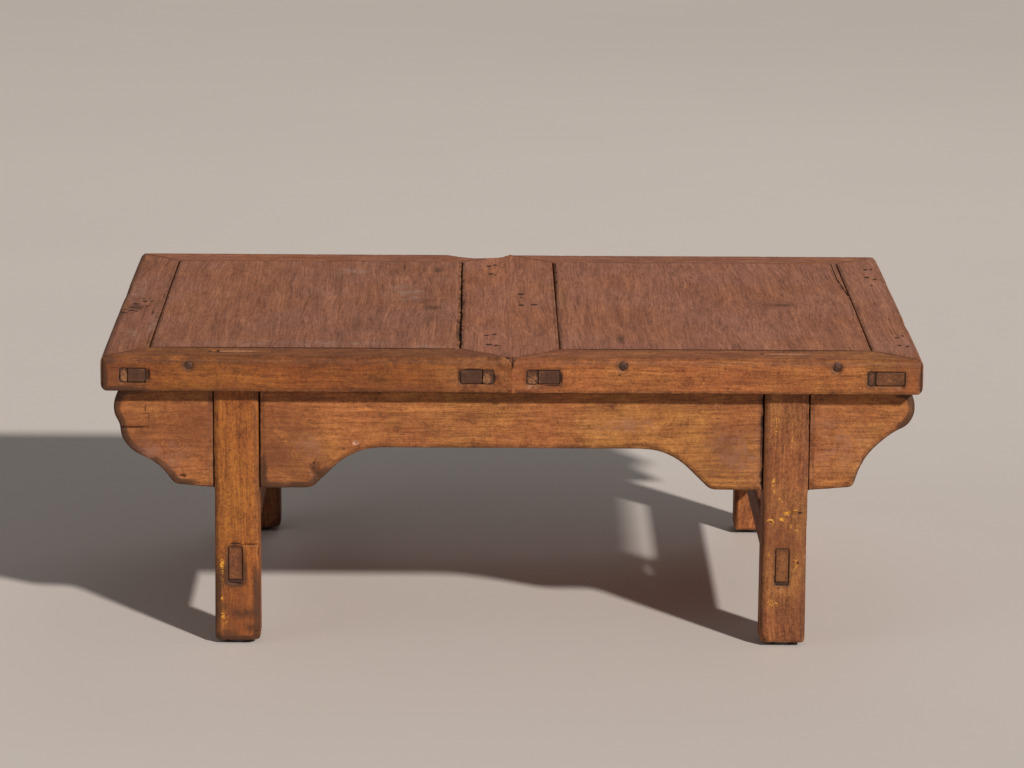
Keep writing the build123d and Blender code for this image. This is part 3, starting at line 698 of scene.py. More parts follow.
# The scars of each member, each a tool and what it is given: places, radii and pushes in millimetres
SCARS = {
    "left_back_rail": [(square_up,), (wane,), (ease_corner,)],
    "right_back_rail": [(square_up,), (ease_corner,)],
    "left_inner_stile": [
        (square_up,), (wane,), (fray, (-56.3, -251, 332), (-56.3, 250, 332), 4.5, (1.5, 0, -1.4), 9),
    ],
    "right_inner_stile": [(square_up,)],
    "left_panel": [
        (scoop, (-398.9, 0, 332), (3, 275, 9), (-0.55, 0, 0), 0.5, 0.4),
        (fray, (-57.4, -250, 332), (-57.4, 251, 332), 6, (-3, 0, -2.6), 11),
        (scoop, (-104, 20, 332), (17, 22, 6), (0, 0, -0.7), 0.2, 0.9),
    ],
    "right_panel": [
        (scoop, (395.9, -10, 332), (3, 120, 9), (0.35, 0, 0), 0.5, 0.4),
        (scoop, (53.3, -110, 332), (3, 165, 9), (-0.8, 0, 0), 0.6, 0.5),
        (fray, (53.5, 60, 332), (53.5, 251, 332), 4, (1.6, 0, -1.5), 6),
        (scoop, (60, 30, 332.5), (5, 78, 5), (0, 0, -1.5), 0.15, 0.6),
        (scoop, (317, -1, 332), (20, 15, 6), (0, 0, -0.6), 0.2, 0.9),
    ],
    "left_front_rail": [
        (scoop, (-423.5, -300, 309), (5.5, 5, 9.5), (0, 1.6, 0), 0.5, 0.6),
        (scoop, (-304, -271.5, 332), (32, 5, 4), (0, 0, -1), 0.2, 0.6),
        (scoop, (-326, -268.5, 332), (6, 5, 4), (0, 0, -1.4), 0.4, 0.6), (square_up,),
        (scoop, (-0.2, -299.5, 329), (2.6, 4, 7), (-0.8, 1.8, -0.4), 0.3, 0.8),
        (scoop, (-397.4, -300, 311), (2.2, 4, 8), (0, 2.6, 0), 0.3, 0.6), (ease_corner,),
    ],
    "right_front_rail": [
        (scoop, (23, -300, 300.5), (9.5, 4, 4.2), (0, 1.5, 0), 0.5, 0.6),
        (scoop, (304, -271.5, 332), (33, 4.6, 4), (0, 0, -0.9), 0.2, 0.6), (square_up,),
        (scoop, (0.4, -299.5, 326.5), (2.4, 4, 9), (0.6, 1.9, -0.3), 0.3, 0.8),
        (scoop, (425, -300, 302.5), (4, 4, 3.6), (0, 1.6, 0), 0.4, 0.6), (ease_corner,),
    ],
    "left_outer_stile": [
        (ease_corner,), (scoop, (-432, -24, 332), (22, 30, 4), (0, 0, -0.8), 0.5, 0.5),
        (scoop, (-449, 70, 330), (5, 60, 9), (1.4, 0, -0.8), 0.25, 0.9),
        (scoop, (-408, -120, 332), (6, 32, 4), (0, 0, -0.7), 0.4, 0.6),
    ],
    "right_outer_stile": [
        (ease_corner,), (scoop, (449.5, -90, 330), (6, 40, 10), (-1.5, 0, -1), 0.3, 0.9),
        (scoop, (449.5, 120, 322), (4.5, 70, 12), (-1.1, 0, 0), 0.25, 0.9),
    ],
    "front_apron": [
        (fray, (277.6, -276, 293.9), (277.6, -276, 179.9), 4.5, (-2.6, 1.8, 0), 2.6),
        (fray, (-277.4, -276, 293.9), (-277.4, -276, 179.9), 3, (1.2, 1.2, 0), 2.6),
        (scoop, (-415, -276, 246.1), (21, 9, 1.5), (0, 5, 0), 0.1, 0.7),
        (scoop, (-362, -276, 192.1), (4, 6, 2.2), (0, 3.2, 0), 0.3, 0.6),
        (scoop, (-216, -276, 194.9), (9, 5, 15), (0, 1.2, 0), 0.6, 0.6),
        (scoop, (-171.5, -276, 230.1), (3, 5, 2), (0, 1.6, 0), 0.3, 0.7),
    ],
    "front_left_leg": [
        (scoop, (-326.8, -272, 262), (2.6, 14, 66), (-0.55, 0, 0), 0.7, 0.5),
        (scoop, (-287.5, -279, 114.2), (14, 5, 1.4), (0, 2.4, 0), 0.3, 0.7),
        (scoop, (-305, -279, 71.9), (7.5, 4, 3.4), (0, 2, 0), 0.3, 0.8),
        (scoop, (-279.5, -278, 7.5), (7, 7, 14), (-3.2, 1.4, 2.4), 0.25, 0.9),
        (scoop, (-325.5, -278, 6), (5, 5, 9), (1.8, 1.4, 1.4), 0.25, 0.9),
    ],
    "front_right_leg": [
        (scoop, (326.8, -272, 205), (2.6, 14, 70), (0.6, 0, 0), 0.7, 0.5),
        (scoop, (309, -279, 152.4), (7.5, 4.5, 2.6), (0, 2, 0), 0.3, 0.7),
        (scoop, (288, -279, 147.9), (2.2, 3, 2), (0, 2, 0), 0.3, 0.7),
        (scoop, (279.5, -278, 6.5), (5, 6, 11), (2, 1.2, 2.2), 0.25, 0.9),
    ],
    "back_left_leg": [(scoop, (-280, 226, 6), (10, 12, 13), (-4.2, 3, 4), 0.25, 0.9)],
}

# Where raw wood shows, as centres and radii
CHIPPED = {
    "left_front_rail": [((-423.5, -300, 309), (6, 4, 10)), ((-300, -269.8, 332), (29, 3.6, 3))],
    "right_front_rail": [((23, -300, 300.5), (10, 3, 4.6)), ((304, -270.4, 332), (30, 3.2, 3))],
    "right_panel": [((61, 30, 332), (4.5, 74, 4))],
    "tenon_wedges": [((-28, -300, 309.5), (5, 6, 7)), ((-423, -300, 309.5), (5, 6, 8)),
        ((22, -300, 306.5), (6, 6, 7))],
}


def top(x, y, across, along, deep=3):
    """A spot on the upper face of the table."""
    return (x, y, TOP), (across, along, deep)


def upright(face, usual, x, z, across, up, deep=None):
    """A spot on an upright face, of the usual depth if it has none of its own."""
    return (x, face, z), (across, deep or usual, up)


rail = functools.partial(upright, FRONT, 3)
apron = functools.partial(upright, APRON_FACE, 12)
leg = functools.partial(upright, LEG_FACE, 3)


# The marks of each member, as centres and radii in millimetres, and the colour of its own dust; the rims are mostly
# painted shade on rounded edges
SPOTS = {
    "left_inner_stile": {
        "stains_and_shade": [rail(-43, 311, 20, 14, 9)],
        "holes": [top(-25, 225.4, 3.9, 7.3), top(-17.1, 232.6, 3, 6.5), top(-22.7, 177.8, 3.9, 7.3),
            top(-17.3, 170.5, 2.5, 5), top(-28, -179.3, 4.4, 5), top(-19.6, -173.6, 3.4, 5.9),
            top(-25.8, -229.2, 5.1, 6.5), top(-18.1, -233.8, 3.9, 5.9)],
    },
    "right_inner_stile": {
        "stains_and_shade": [rail(45, 308, 20, 15, 9)],
        "holes": [top(12.7, 54.7, 5.8, 7.8), top(12.5, 34.6, 2.5, 4.6), top(11.9, -9.9, 4.6, 6.5),
            top(27.1, -6.5, 5.3, 5.9)],
    },
    "right_outer_stile": {
        "holes": [top(428.7, 215.8, 3.4, 6.9), top(435.5, 217.9, 2.5, 5), top(426.6, 168.9, 4.1, 7.8),
            top(434.6, 156.1, 2.8, 6.5), top(428, 119.2, 2.3, 5.9), top(430.1, -180.9, 2.8, 5.5),
            top(437.6, -170.9, 2.1, 4.6), top(429.7, -222.3, 3.4, 5.5), top(437.7, -227.4, 2.8, 5)],
    },
    "left_outer_stile": {
        "bloom": [top(-404, -130, 7, 84, 5), top(-430, -190, 22, 40, 5), top(-436, 60, 14, 90, 5)],
        "stains_and_shade": [rail(-411, 311, 22, 19, 9), top(-430, -32, 14, 34, 4)],
        "holes": [((-442.9, -62.4, 331), (6.9, 5.5, 3)), top(-434.7, -50.8, 4.6, 5.5), top(-426.8, -33.4, 3.9, 5.5),
            top(-436, -30, 5.8, 4.6), top(-432, -10.4, 5.8, 5.9), top(-422.5, 1.5, 3.9, 5.9), top(-414.7, 2, 3, 4.2),
            top(-441, -44, 4, 4.6), top(-428, -56, 2.4, 4), top(-419, -22, 2.6, 5), top(-425.5, 18, 2.6, 4),
            top(-409, -62, 1.2, 12)],
    },
    "left_panel": {
        "knots": [top(-104, 20, 21, 24, 14)],
        "stains_and_shade": [top(-90, -26, 18, 22, 6), top(-85, 198, 7, 30, 6)],
        "bloom": [top(-235, -228, 140, 22, 6), top(-95, -236, 34, 16, 6), top(-188, 190, 34, 34, 6),
            top(-120, 60, 40, 80, 6)],
        "holes": [top(-125.8, 213, 0.8, 29), top(-102, 6, 5, 1.8), top(-228, -251.2, 260, 3)],
    },
    "right_panel": {
        "knots": [top(300, -2, 36, 26, 14)],
        "stains_and_shade": [top(122, -196, 7, 44, 6), top(316, 0, 20, 13, 6)],
        "holes": [top(225, -251.2, 260, 3)],
    },
    "left_front_rail": {
        "pale": [top(-302, -269.6, 30, 3.8)],
        # At this rail's rounded left end the rims, the second stain spot and the first dusk spot are painted shade
        "rims": [((-450, -292, 308), (11, 30, 26)), ((-430, -298, 292), (40, 12, 8))],
        "stains_and_shade": [rail(-353, 321.5, 12, 10, 6), ((-441, -296, 327), (12, 14, 8))],
        "dusk": [((-440, -298, 312), (40, 30, 30)), rail(-110, 296, 90, 9, 6)],
        "dust": (0.350, 0.145, 0.045),
        "bloom": [rail(-20, 311, 100, 40, 20)],
        "knots": [rail(-235, 324, 10, 5, 8), rail(-178, 323, 8, 4, 8), rail(-305, 297, 14, 5, 8)],
        "holes": [rail(-353, 321.5, 6, 6), ((-397.8, -299, 311), (2.5, 8, 8)), rail(-411, 302.4, 14, 1.1),
            rail(-58, 311, 1.5, 8.5), rail(-43, 319, 13, 1), rail(-19.4, 309, 1.7, 6, 5), top(-323, -268, 2.4, 5),
            top(-331.5, -270, 4, 3), top(-303, -275.4, 31, 2.4), rail(-0.6, 326, 0.9, 6, 6),
            top(-228, -251.6, 260, 1.8), rail(-434, 318.5, 7, 0.5, 2)],
    },
    "right_front_rail": {
        "pale": [top(304, -270.4, 32, 3.4)],
        "rims": [((451, -292, 308), (8, 20, 26))],
        "stains_and_shade": [rail(121, 323.5, 11, 10, 6), rail(355, 323.6, 10, 9.5, 6)],
        "dusk": [((440, -298, 318), (34, 30, 24)), rail(12, 310, 30, 34, 12), rail(30, 308, 44, 20, 6)],
        "holes": [rail(121, 323.6, 6, 6), rail(355, 323.8, 6, 6), rail(53.8, 309, 1.8, 9), rail(44, 301.3, 11, 1.3),
            rail(425.5, 302.8, 2.4, 1.8), top(274, -272, 2.4, 4), top(305, -275.6, 31, 1.8),
            rail(0.7, 325, 0.9, 6, 6), top(225, -251.6, 260, 1.8), rail(117, 313.5, 1.4, 1.2, 2)],
    },
    "right_back_rail": {
        "holes": [top(305, 277, 31, 1, 2)],
    },
    "front_apron": {
        "knots": [apron(-249, 214, 17, 17), apron(-370, 228, 20, 15)],
        "dusk": [apron(-410, 235, 60, 80), apron(-255, 222, 80, 90), apron(-330, 250, 90, 60),
            apron(-215, 200, 28, 26), apron(240, 220, 60, 60)],
        "dust": (0.285, 0.125, 0.078),
        "bloom": [apron(258, 225, 60, 50), apron(-225, 225, 26, 22), apron(350, 235, 60, 50),
            apron(-385, 215, 46, 34), apron(130, 250, 70, 18)],
        "rims": [((-420, -272, 250), (34, 14, 52)), ((-370, -272, 200), (40, 14, 26)),
            ((436, -272, 270), (20, 14, 34)), ((-240, -272, 190), (60, 14, 24))],
        "stains_and_shade": [apron(-216, 201, 8, 15, 6), apron(-272, 206.9, 4, 20, 6)],
        "pale": [apron(-171.5, 230.1, 5, 3.4, 4)],
        "holes": [apron(-415, 246.1, 19, 0.9, 9), apron(-429, 246.2, 7, 1.5, 9), apron(-362.4, 191.9, 3.6, 1.7, 6),
            apron(-171.3, 229.9, 1.3, 1, 3), apron(-402.7, 268, 0.7, 4.5, 2), apron(-400.8, 262.3, 2.2, 0.6, 2),
            apron(-398.6, 257.5, 0.6, 5, 2), apron(275, 236, 1.2, 46, 3), apron(-218, 207, 1.6, 1.4, 3),
            apron(-213.5, 196, 1.4, 2.2, 3)],
    },
    "front_left_leg": {
        "flecks": [leg(-319, 84, 3, 16), leg(-317, 30, 6, 9)],
        "paint": [leg(-319.4, 93, 3.2, 7), leg(-319.6, 53, 1.8, 3), leg(-318.6, 33, 3, 5)],
        "rims": [((-302, -272, 40), (34, 30, 80))],
        "dusk": [leg(-302, 30, 46, 76, 40), leg(-302, 14, 40, 40, 40), leg(-296, 34, 26, 24, 20)],
        "stains_and_shade": [leg(-296, 36, 28, 11, 8), leg(-312, 12, 18, 10, 8), leg(-286, 20, 14, 8, 8),
            leg(-318, 44, 9, 8, 8), leg(-322, 76, 7, 30, 8)],
        "holes": [leg(-287.5, 114.6, 14, 1, 5), leg(-319.5, 78.9, 1.4, 1), leg(-279, 106, 0.9, 8, 5),
            leg(-311.5, 93, 0.8, 21, 4), leg(-304.5, 115.6, 8, 1.4, 4), leg(-300, 70, 4, 1, 4)],
    },
    "front_right_leg": {
        "paint": [leg(306, 153.2, 7.5, 3), leg(314, 156.5, 3, 1.8), leg(299, 146.4, 3.4, 3),
            leg(286.6, 145.2, 5, 2.4), leg(289, 190, 1.8, 3), leg(290.6, 178, 1.8, 3), leg(309, 139, 2, 3.6)],
        "flecks": [leg(309, 152.8, 9, 4.2), leg(302.5, 144.8, 4, 3), leg(288.4, 142.5, 5, 4), leg(316, 136, 3, 6),
            leg(289, 186, 3, 14), leg(291, 250, 1.6, 20), leg(309, 240, 1.6, 14), leg(297, 168, 3, 5),
            leg(286, 104, 2, 8), leg(316, 96, 3, 12), leg(291, 50, 9, 7)],
        "dusk": [leg(284, 160, 10, 90, 30), leg(300, 120, 30, 40, 30)],
        "holes": [leg(319, 154, 3.6, 1.5), leg(286.5, 144, 1.6, 1), leg(318, 97, 1, 2.4), leg(325, 262, 1, 12)],
    },
}


def points_of(mesh):
    """The mesh's points in millimetres."""
    flat = np.empty(len(mesh.vertices) * 3)
    mesh.vertices.foreach_get("co", flat)
    return flat.reshape(-1, 3) / MM


def scar(piece, name):
    """Cuts a member's own scars into its mesh and notes the chipped places as "fresh"."""
    mesh = piece.data
    points = points_of(mesh)
    x, y, z = points.T
    fresh = np.zeros(len(points))
    for centre, radii in CHIPPED.get(name, ()):
        fresh = np.maximum(fresh, inside(points, centre, radii, 0.4, 0.35, 2.2, 4.7))
    dirt, arris = np.empty(len(points)), np.empty(len(points))
    mesh.attributes["joint"].data.foreach_get("value", dirt)
    mesh.attributes["arris"].data.foreach_get("value", arris)

    # Little dirt lies where the joints are tight: the seam, the tips of its mitres, the ends, the right panel
    seam = (np.abs(x) < NEAR_SEAM) & (z > UNDERSIDE + 1.5)
    tip = (np.abs(x) < 16.0) & (y < -284.0) & (z > 325.0)
    dirt *= np.where(seam, 0.1, 1.0) * np.where(np.abs(x) > 443.0, 0.15, 1.0)
    dirt *= np.where(tip, 0.4, 1.0)
    if name == "right_panel":
        clean = (x < 62.0) & (y < 45.0) | (x > 380.0) & (y > 30.0)
        dirt *= np.where(clean, 0.15, 1.0)
    mesh.attributes["arris"].data.foreach_set("value", np.where(seam, 0.0, arris))
    for tool, *how in SCARS.get(name, ()):
        share = tool(points, *how)
        if tool is fray:
            dirt = np.maximum(dirt, np.clip(share * 2.5, 0.0, 1.0))
    mesh.attributes["joint"].data.foreach_set("value", dirt)
    mesh.vertices.foreach_set("co", (points * MM).ravel())
    crisp_seam(mesh, points)
    mesh.attributes.new("fresh", "FLOAT", "POINT").data.foreach_set("value", fresh)
    mesh.update()


# ---- pieces

MERGE = 0.002 * MM             # closer points of a CAD mesh are one
TOUCH = 4.0 * MM               # members whose boxes are closer count as neighbours


def mesh_from(shape, name):
    """Turns a shape in the making into a mesh."""
    mesh = bpy.data.meshes.new(name)
    shape.to_mesh(mesh)
    shape.free()
    return mesh


def new_object(name, data):
    made = bpy.data.objects.new(name, data)
    bpy.context.scene.collection.objects.link(made)
    return made


def mount(piece, slot, *nodes):
    """The piece rides on the table and stands for these nodes."""
    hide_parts(*nodes)
    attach(piece, "root")


def neighbours(name):
    """The members that touch this one, as one mesh."""
    low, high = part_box(name)
    near = bmesh.new()
    for other, thing in NODES.items():
        if other == name or other.endswith("_pad") or other == "rail_nails":
            continue
        other_low, other_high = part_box(other)
        if all(other_low[i] < high[i] + TOUCH and other_high[i] > low[i] - TOUCH for i in range(3)):
            near.from_mesh(thing.data)
    return new_object("neighbours", mesh_from(near, "neighbours"))


def member(name, slot, finish, axis, pitch=1.0, passes=8, ripple=1.0, softening=1.0):
    """A worn member: the CAD member finely meshed, rubbed, rippled, nicked and scarred."""
    wear = bpy.context.scene.kang_wear
    coarse = 1.0
    raw = bmesh.new()
    raw.from_mesh(NODES[name].data)
    bmesh.ops.remove_doubles(raw, verts=raw.verts, dist=MERGE)
    piece = new_object("worn_" + name, mesh_from(raw, name + "_worn"))
    voxels = piece.modifiers.new("Fine mesh", "REMESH")
    voxels.mode = "VOXEL"
    voxels.voxel_size = wear.mesh_pitch * pitch * coarse
    voxels.use_smooth_shade = True
    around = neighbours(name)
    shape_with(piece, worn_timber_tree(), {
        "Softening": wear.softening * softening,
        "Passes": max(2, round(passes / coarse ** 2)),
        "Ripple": wear.ripple * ripple,
        "Ripple scale": tuple(5.0 if way == axis else 24.0 for way in "XYZ"),
        "Nick": wear.nick * ripple,
        "Neighbours": around,
        "Seed": wear.seed + sum(map(ord, name)) * 0.37,
        "Finish": finish,
    })
    settle(piece)
    bpy.data.objects.remove(around)
    scar(piece, name)
    mount(piece, slot, name)


class KANGTABLE_OT_top_frames(bpy.types.Operator):
    """Makes the mitred rails and stiles of both leaves"""

    bl_idname = "kangtable.top_frames"
    bl_label = "Top frames"
    bl_options = {"REGISTER", "UNDO"}

    def execute(self, context):
        boards = {
            "left_front_rail": ("X", 11.0, (-330.0, 352.0), (0.66, 0.53, 0.29), (1.05, 1.0, 0.86)),
            "right_front_rail": ("X", 23.0, (-322.0, 262.0), (0.97, 0.86, 0.72), (1.12, 1.04, 0.92)),
            "left_back_rail": ("X", 31.0, (310.0, 370.0), (0.95, 0.85, 0.8), (1.1, 1.02, 0.92)),
            "right_back_rail": ("X", 43.0, (330.0, 350.0), (1.0, 0.9, 0.84), (1.1, 1.03, 0.94)),
            "left_outer_stile": ("Y", 53.0, (-420.0, 372.0), (0.9, 0.85, 0.8), (1.03, 1.0, 0.96)),
            "left_inner_stile": ("Y", 61.0, (-20.0, 390.0), (1.0, 0.9, 0.84), (1.24, 1.17, 1.08)),
            "right_inner_stile": ("Y", 73.0, (44.0, 402.0), (1.0, 0.9, 0.84), (1.22, 1.15, 1.02)),
            "right_outer_stile": ("Y", 83.0, (418.0, 384.0), (1.0, 0.9, 0.86), (1.26, 1.26, 1.25)),
        }
        for name, (axis, seed, pith, tone, dry_tone) in boards.items():
            dryness = 0.3 if "front" in name else 1.0
            ends = 0.72 if name == "right_outer_stile" else 0.95
            mottling = 1.8 if "front" in name else 1.4
            finish = timber(name + "_elm", axis, seed, pith, tone, dry_tone, SPOTS.get(name), mottling, ends,
                            tight=0.6, dryness=dryness, turn_in=0.34)
            member(name, "frame_wood", finish, axis, softening=0.35)
        return {"FINISHED"}


class KANGTABLE_OT_panels(bpy.types.Operator):
    """Makes the two floating panels and the slip beside the right one"""

    bl_idname = "kangtable.panels"
    bl_label = "Panels"
    bl_options = {"REGISTER", "UNDO"}

    def execute(self, context):
        for name, seed, pith, tone, tight in (
            ("left_panel", 101.0, (-250.0, 560.0), (1.10, 1.09, 1.07), 0.4),
            ("right_panel", 113.0, (190.0, 610.0), (1.18, 1.13, 1.08), 0.5),
        ):
            finish = timber(name + "_elm", "Y", seed, pith, tone, tone, SPOTS[name], 1.35, tight=tight)
            member(name, "panel_wood", finish, "Y", pitch=1.28, passes=4, ripple=0.8)
        slip = timber("panel_slip_elm", "Y", 127.0, (380.0, 420.0), dry_tone=(1.05, 1.02, 1.0), tight=0.85)
        member("right_panel_slip", "panel_wood", slip, "Y", pitch=0.5, passes=4, ripple=0.3)
        return {"FINISHED"}


class KANGTABLE_OT_aprons(bpy.types.Operator):
    """Makes the shaped front and back aprons"""

    bl_idname = "kangtable.aprons"
    bl_label = "Aprons"
    bl_options = {"REGISTER", "UNDO"}

    def execute(self, context):
        for name, seed, pith in (("front_apron", 137.0, (-300.0, 130.0)), ("back_apron", 149.0, (300.0, 150.0))):
            finish = timber(name + "_elm", "X", seed, pith, (1.03, 1.01, 0.9), spots=SPOTS.get(name), mottling=1.75,
                            tight=0.4, turn_in=0.26)
            member(name, "base_wood", finish, "X", pitch=1.05, passes=14, softening=1.3)
        return {"FINISHED"}


class KANGTABLE_OT_legs(bpy.types.Operator):
    """Makes the four legs"""

    bl_idname = "kangtable.legs"
    bl_label = "Legs"
    bl_options = {"REGISTER", "UNDO"}

    def execute(self, context):
        legs = {
            "front_left_leg": (151.0, (-340.0, -330.0), (0.90, 0.76, 0.42)),
            "front_right_leg": (163.0, (250.0, -340.0), (0.79, 0.75, 0.76)),
            # The back left leg's tone is about two thirds of the back right leg's: painted shade
            "back_left_leg": (173.0, (-260.0, 300.0), (0.62, 0.55, 0.50)),
            "back_right_leg": (181.0, (350.0, 320.0), (0.95, 0.86, 0.8)),
        }
        for name, (seed, pith, tone) in legs.items():
            finish = timber(name + "_elm", "Z", seed, pith, tone, spots=SPOTS.get(name), mottling=2.0, tight=0.4)
            member(name, "base_wood", finish, "Z")
        return {"FINISHED"}


class KANGTABLE_OT_stretchers(bpy.types.Operator):
    """Makes the two side stretchers and the battens under the panels"""

    bl_idname = "kangtable.stretchers"
    bl_label = "Stretchers and battens"
    bl_options = {"REGISTER", "UNDO"}

    def execute(self, context):
        for name, seed, pith, ends in (("left_stretcher", 191.0, (-330.0, 60.0), 0.55),
                                       ("right_stretcher", 199.0, (330.0, 50.0), 0.42)):
            finish = timber(name + "_elm", "Y", seed, pith, (0.9, 0.82, 0.75), ends=ends, tight=0.5)
            member(name, "base_wood", finish, "Y")
        inner = timber("batten_elm", "X", 211.0, (0.0, 250.0), (0.8, 0.75, 0.7))
        for name in ("left_front_batten", "left_back_batten", "right_front_batten", "right_back_batten"):
            member(name, "inner_wood", inner, "X", pitch=1.4)
        tongue = timber("tongue_elm", "X", 223.0, (0.0, 280.0), (0.8, 0.75, 0.7))
        for slot in NODES["seam_tongues"].material_slots:
            slot.material = tongue
        return {"FINISHED"}


class KANGTABLE_OT_wedges(bpy.types.Operator):
    """Makes the wedges that lock the through tenons"""

    bl_idname = "kangtable.wedges"
    bl_label = "Wedges"
    bl_options = {"REGISTER", "UNDO"}

    def execute(self, context):
        finish = timber("wedge_elm", "Y", 229.0, (0.0, 330.0), (0.9, 0.85, 0.8))
        member("tenon_wedges", "wedge_wood", finish, "Y", pitch=0.5, passes=5, ripple=0.8)
        finish = timber("stretcher_wedge_elm", "Y", 233.0, (0.0, 130.0), (0.8, 0.75, 0.7))
        member("stretcher_wedges", "wedge_wood", finish, "Y", pitch=0.4, passes=3, ripple=0.4)
        return {"FINISHED"}


def turned(name, profile, sides):
    """A closed turned shape about Z from (radius, height) pairs in millimetres, its poles closed."""
    made = bmesh.new()
    turn = [2.0 * math.pi * i / sides for i in range(sides)]
    rings = [
        [made.verts.new((radius * MM * math.cos(a), radius * MM * math.sin(a), height * MM)) for a in turn]
        for radius, height in profile
    ]
    for low, high in zip(rings, rings[1:]):
        for i in range(sides):
            j = (i + 1) % sides
            made.faces.new((low[i], low[j], high[j], high[i]))
    made.faces.new(list(reversed(rings[0])))
    made.faces.new(rings[-1])
    bmesh.ops.recalc_face_normals(made, faces=made.faces)
    return mesh_from(made, name)


def hammer(mesh, pitch, amount, seed):
    """Beats a shape uneven by moving its points a little."""
    points = points_of(mesh)
    moved = np.stack([drift(points, (pitch,) * 3, seed + k) for k in range(3)], axis=1)
    mesh.vertices.foreach_set("co", ((points + moved * amount) * MM).ravel())


def set_out(name, shape, places, about, spread, finish):
    """One piece with the shape on every place."""
    source = new_object(name + "_shape", shape)
    points = bpy.data.meshes.new(name + "_places")
    points.from_pydata(places, [], [])
    piece = new_object(name, points)
    shape_with(piece, set_out_tree(), {
        "Shape": source, "Turn about": about, "Size spread": spread,
        "Seed": bpy.context.scene.kang_wear.seed, "Finish": finish,
    })
    settle(piece)
    bpy.data.objects.remove(source)
    piece.data.shade_smooth()
    return piece


class KANGTABLE_OT_nails(bpy.types.Operator):
    """Makes the hammered nails in the front rails"""

    bl_idname = "kangtable.nails"
    bl_label = "Nails"
    bl_options = {"REGISTER", "UNDO"}

    def execute(self, context):
        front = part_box("rail_nails")[0].y + 2.0 * MM
        profile = [(0.4, -30.0), (1.3, -20.0), (1.8, -1.0), (3.8, -0.6), (4.8, -0.1), (5.1, 0.5), (4.8, 1.0),
                   (3.7, 1.5), (2.2, 1.8), (0.8, 1.9)]
        shape = turned("hammered_nail", profile, 20)
        hammer(shape, 3.1, 0.35, 2.0)
        shape.transform(Matrix.Rotation(math.radians(90.0), 4, "X"))
        places = [(x * MM, front, z * MM) for x, z in ((-353.0, 321.5), (121.0, 323.6), (355.0, 323.8))]
        finish = hammered_iron("hammered_nail_iron")
        nails = set_out("hammered_nails", shape, places, (0.0, 1.0, 0.0), 0.08, finish)
        mount(nails, "iron", "rail_nails")
        return {"FINISHED"}


class KANGTABLE_OT_pads(bpy.types.Operator):
    """Makes the felt pads under the feet"""

    bl_idname = "kangtable.pads"
    bl_label = "Felt pads"
    bl_options = {"REGISTER", "UNDO"}

    def execute(self, context):
        names = ("front_left_pad", "front_right_pad", "back_left_pad", "back_right_pad")
        boxes = [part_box(name) for name in names]
        places = [((low.x + high.x) / 2.0, (low.y + high.y) / 2.0, low.z) for low, high in boxes]
        profile = [(0.6, 0.05), (13.2, 0.05), (14.1, 0.5), (14.4, 1.3), (14.3, 2.4), (14.4, 3.2), (13.9, 4.0),
                   (0.6, 4.0)]
        shape = turned("felt_pad", profile, 48)
        hammer(shape, 4.0, 0.05, 6.0)
        finish = pressed_felt("pressed_felt")
        pads = set_out("felt_pads", shape, places, (0.0, 0.0, 1.0), 0.01, finish)
        mount(pads, "felt", *names)
        return {"FINISHED"}


AIM = Vector((0.0, 0.0, 0.2))
FILL_AWAY, FILL_SIZE = 3.8, 2.4
CAMERA_PLACE = (-0.0407, -5.0175, 1.3489)
CAMERA_TURNS = (12.502, -0.493, 0.41)      # down, to the left and about its own axis, in degrees


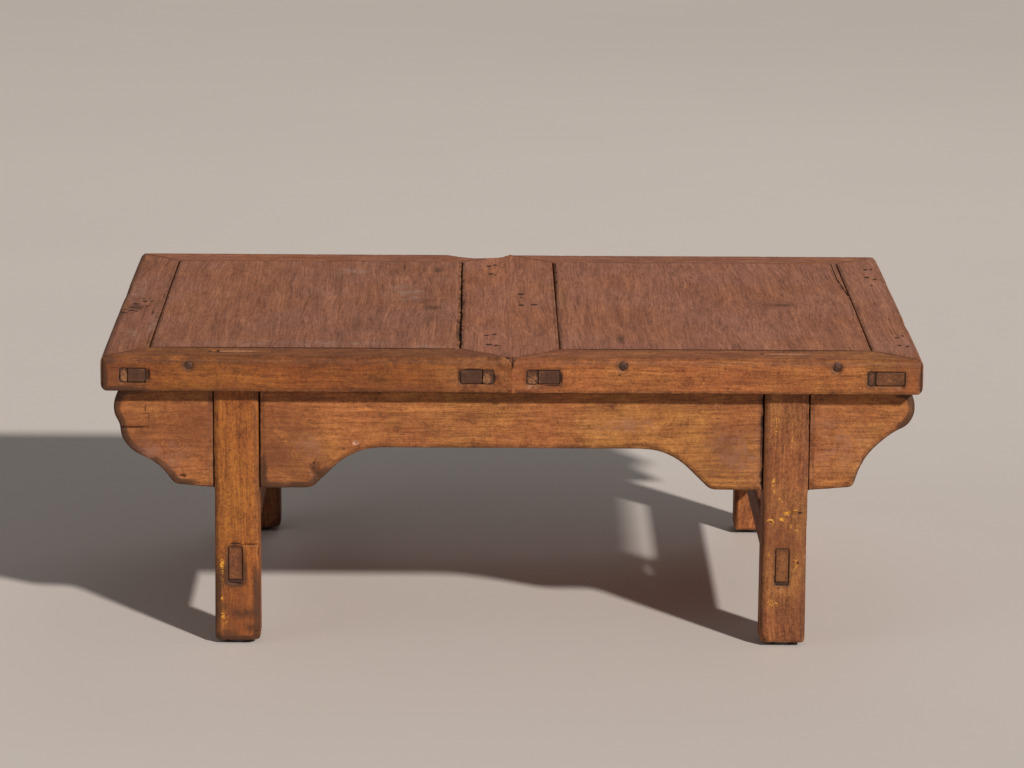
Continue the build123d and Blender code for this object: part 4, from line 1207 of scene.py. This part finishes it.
class KANGTABLE_OT_stage(bpy.types.Operator):
    """Makes the pale floor, the soft lights and the camera"""

    bl_idname = "kangtable.stage"
    bl_label = "Stage"
    bl_options = {"REGISTER", "UNDO"}

    def execute(self, context):
        stage = context.scene.kang_stage
        ground = bmesh.new()
        bmesh.ops.create_grid(ground, x_segments=4, y_segments=4, size=15.0)
        mesh = mesh_from(ground, "floor")
        mesh.materials.append(pale_floor("pale_floor"))
        new_object("floor", mesh)

        world = bpy.data.worlds.new("surroundings")
        world.use_nodes = True
        context.scene.world = world
        context.scene.view_settings.view_transform = "Standard"
        backdrop = world.node_tree.nodes["Background"]
        backdrop.inputs["Color"].default_value = (1.0, 0.975, 0.95, 1.0)
        backdrop.inputs["Strength"].default_value = stage.sky

        key = self.lamp("key", "SUN", Vector(), Vector((-1.0, 1.35, -1.0)), stage.key_power, (1.0, 0.955, 0.90))
        key.angle = math.radians(stage.key_spread)
        for name, way, colour in (
            ("fill_left", Vector((-1.6, -1.0, 1.2)), (0.97, 0.98, 1.0)),
            ("fill_back", Vector((0.5, 1.8, 1.6)), (1.0, 0.98, 0.96)),
        ):
            place = AIM + way.normalized() * FILL_AWAY
            fill = self.lamp(name, "AREA", place, AIM - place, stage.fill_power, colour)
            fill.shape = "DISK"
            fill.size = FILL_SIZE
        self.camera(context, stage.lens)
        return {"FINISHED"}

    def lamp(self, name, kind, place, way, power, colour):
        """Sets up a lamp that shines along way, and returns its light."""
        light = bpy.data.lights.new(name, kind)
        light.energy = power
        light.color = colour
        lamp = new_object(name, light)
        lamp.location = place
        lamp.rotation_euler = way.to_track_quat("-Z", "Y").to_euler()
        return light

    def camera(self, context, lens):
        """Stands before the table, a little left of its middle, and looks down on it."""
        pitch, yaw, roll = (math.radians(turn) for turn in CAMERA_TURNS)
        up = Vector((0.0, 0.0, 1.0))
        level = Vector((-math.sin(yaw), math.cos(yaw), 0.0))
        side = Vector((math.cos(yaw), math.sin(yaw), 0.0))
        ahead = math.cos(pitch) * level - math.sin(pitch) * up
        above = math.sin(pitch) * level + math.cos(pitch) * up
        right = math.cos(roll) * side + math.sin(roll) * above
        upward = math.cos(roll) * above - math.sin(roll) * side
        lens_data = bpy.data.cameras.new("camera")
        lens_data.sensor_width = 36.0
        lens_data.lens = lens
        lens_data.clip_end = 100.0
        camera = new_object("camera", lens_data)
        turn = Matrix((right, upward, -ahead)).transposed().to_4x4()
        camera.matrix_world = Matrix.Translation(CAMERA_PLACE) @ turn
        context.scene.camera = camera


OPERATORS = (
    KANGTABLE_OT_stage, KANGTABLE_OT_top_frames, KANGTABLE_OT_panels, KANGTABLE_OT_aprons, KANGTABLE_OT_legs,
    KANGTABLE_OT_stretchers, KANGTABLE_OT_wedges, KANGTABLE_OT_nails, KANGTABLE_OT_pads,
)


class KANGTABLE_PT_panel(bpy.types.Panel):
    """Lists the table's finish, wear and stage, and what makes each piece"""

    bl_idname = "KANGTABLE_PT_panel"
    bl_label = "Kang table"
    bl_space_type = "VIEW_3D"
    bl_region_type = "UI"
    bl_category = "Kang table"

    def draw(self, context):
        scene = context.scene
        for group in (scene.kang_finish, scene.kang_wear, scene.kang_stage):
            box = self.layout.box()
            for name in group.__annotations__:
                box.prop(group, name)
        for operator in OPERATORS:
            self.layout.operator(operator.bl_idname)


CLASSES = (KangTableFinish, KangTableWear, KangTableStage, *OPERATORS, KANGTABLE_PT_panel)


def register():
    for cls in CLASSES:
        bpy.utils.register_class(cls)
    bpy.types.Scene.kang_finish = bpy.props.PointerProperty(type=KangTableFinish)
    bpy.types.Scene.kang_wear = bpy.props.PointerProperty(type=KangTableWear)
    bpy.types.Scene.kang_stage = bpy.props.PointerProperty(type=KangTableStage)


def unregister():
    del bpy.types.Scene.kang_stage
    del bpy.types.Scene.kang_wear
    del bpy.types.Scene.kang_finish
    for cls in reversed(CLASSES):
        bpy.utils.unregister_class(cls)


def main():
    register()
    bpy.ops.kangtable.stage()
    bpy.ops.kangtable.top_frames()
    bpy.ops.kangtable.panels()
    bpy.ops.kangtable.aprons()
    bpy.ops.kangtable.legs()
    bpy.ops.kangtable.stretchers()
    bpy.ops.kangtable.wedges()
    bpy.ops.kangtable.nails()
    bpy.ops.kangtable.pads()


if __name__ == "__main__":
    main()
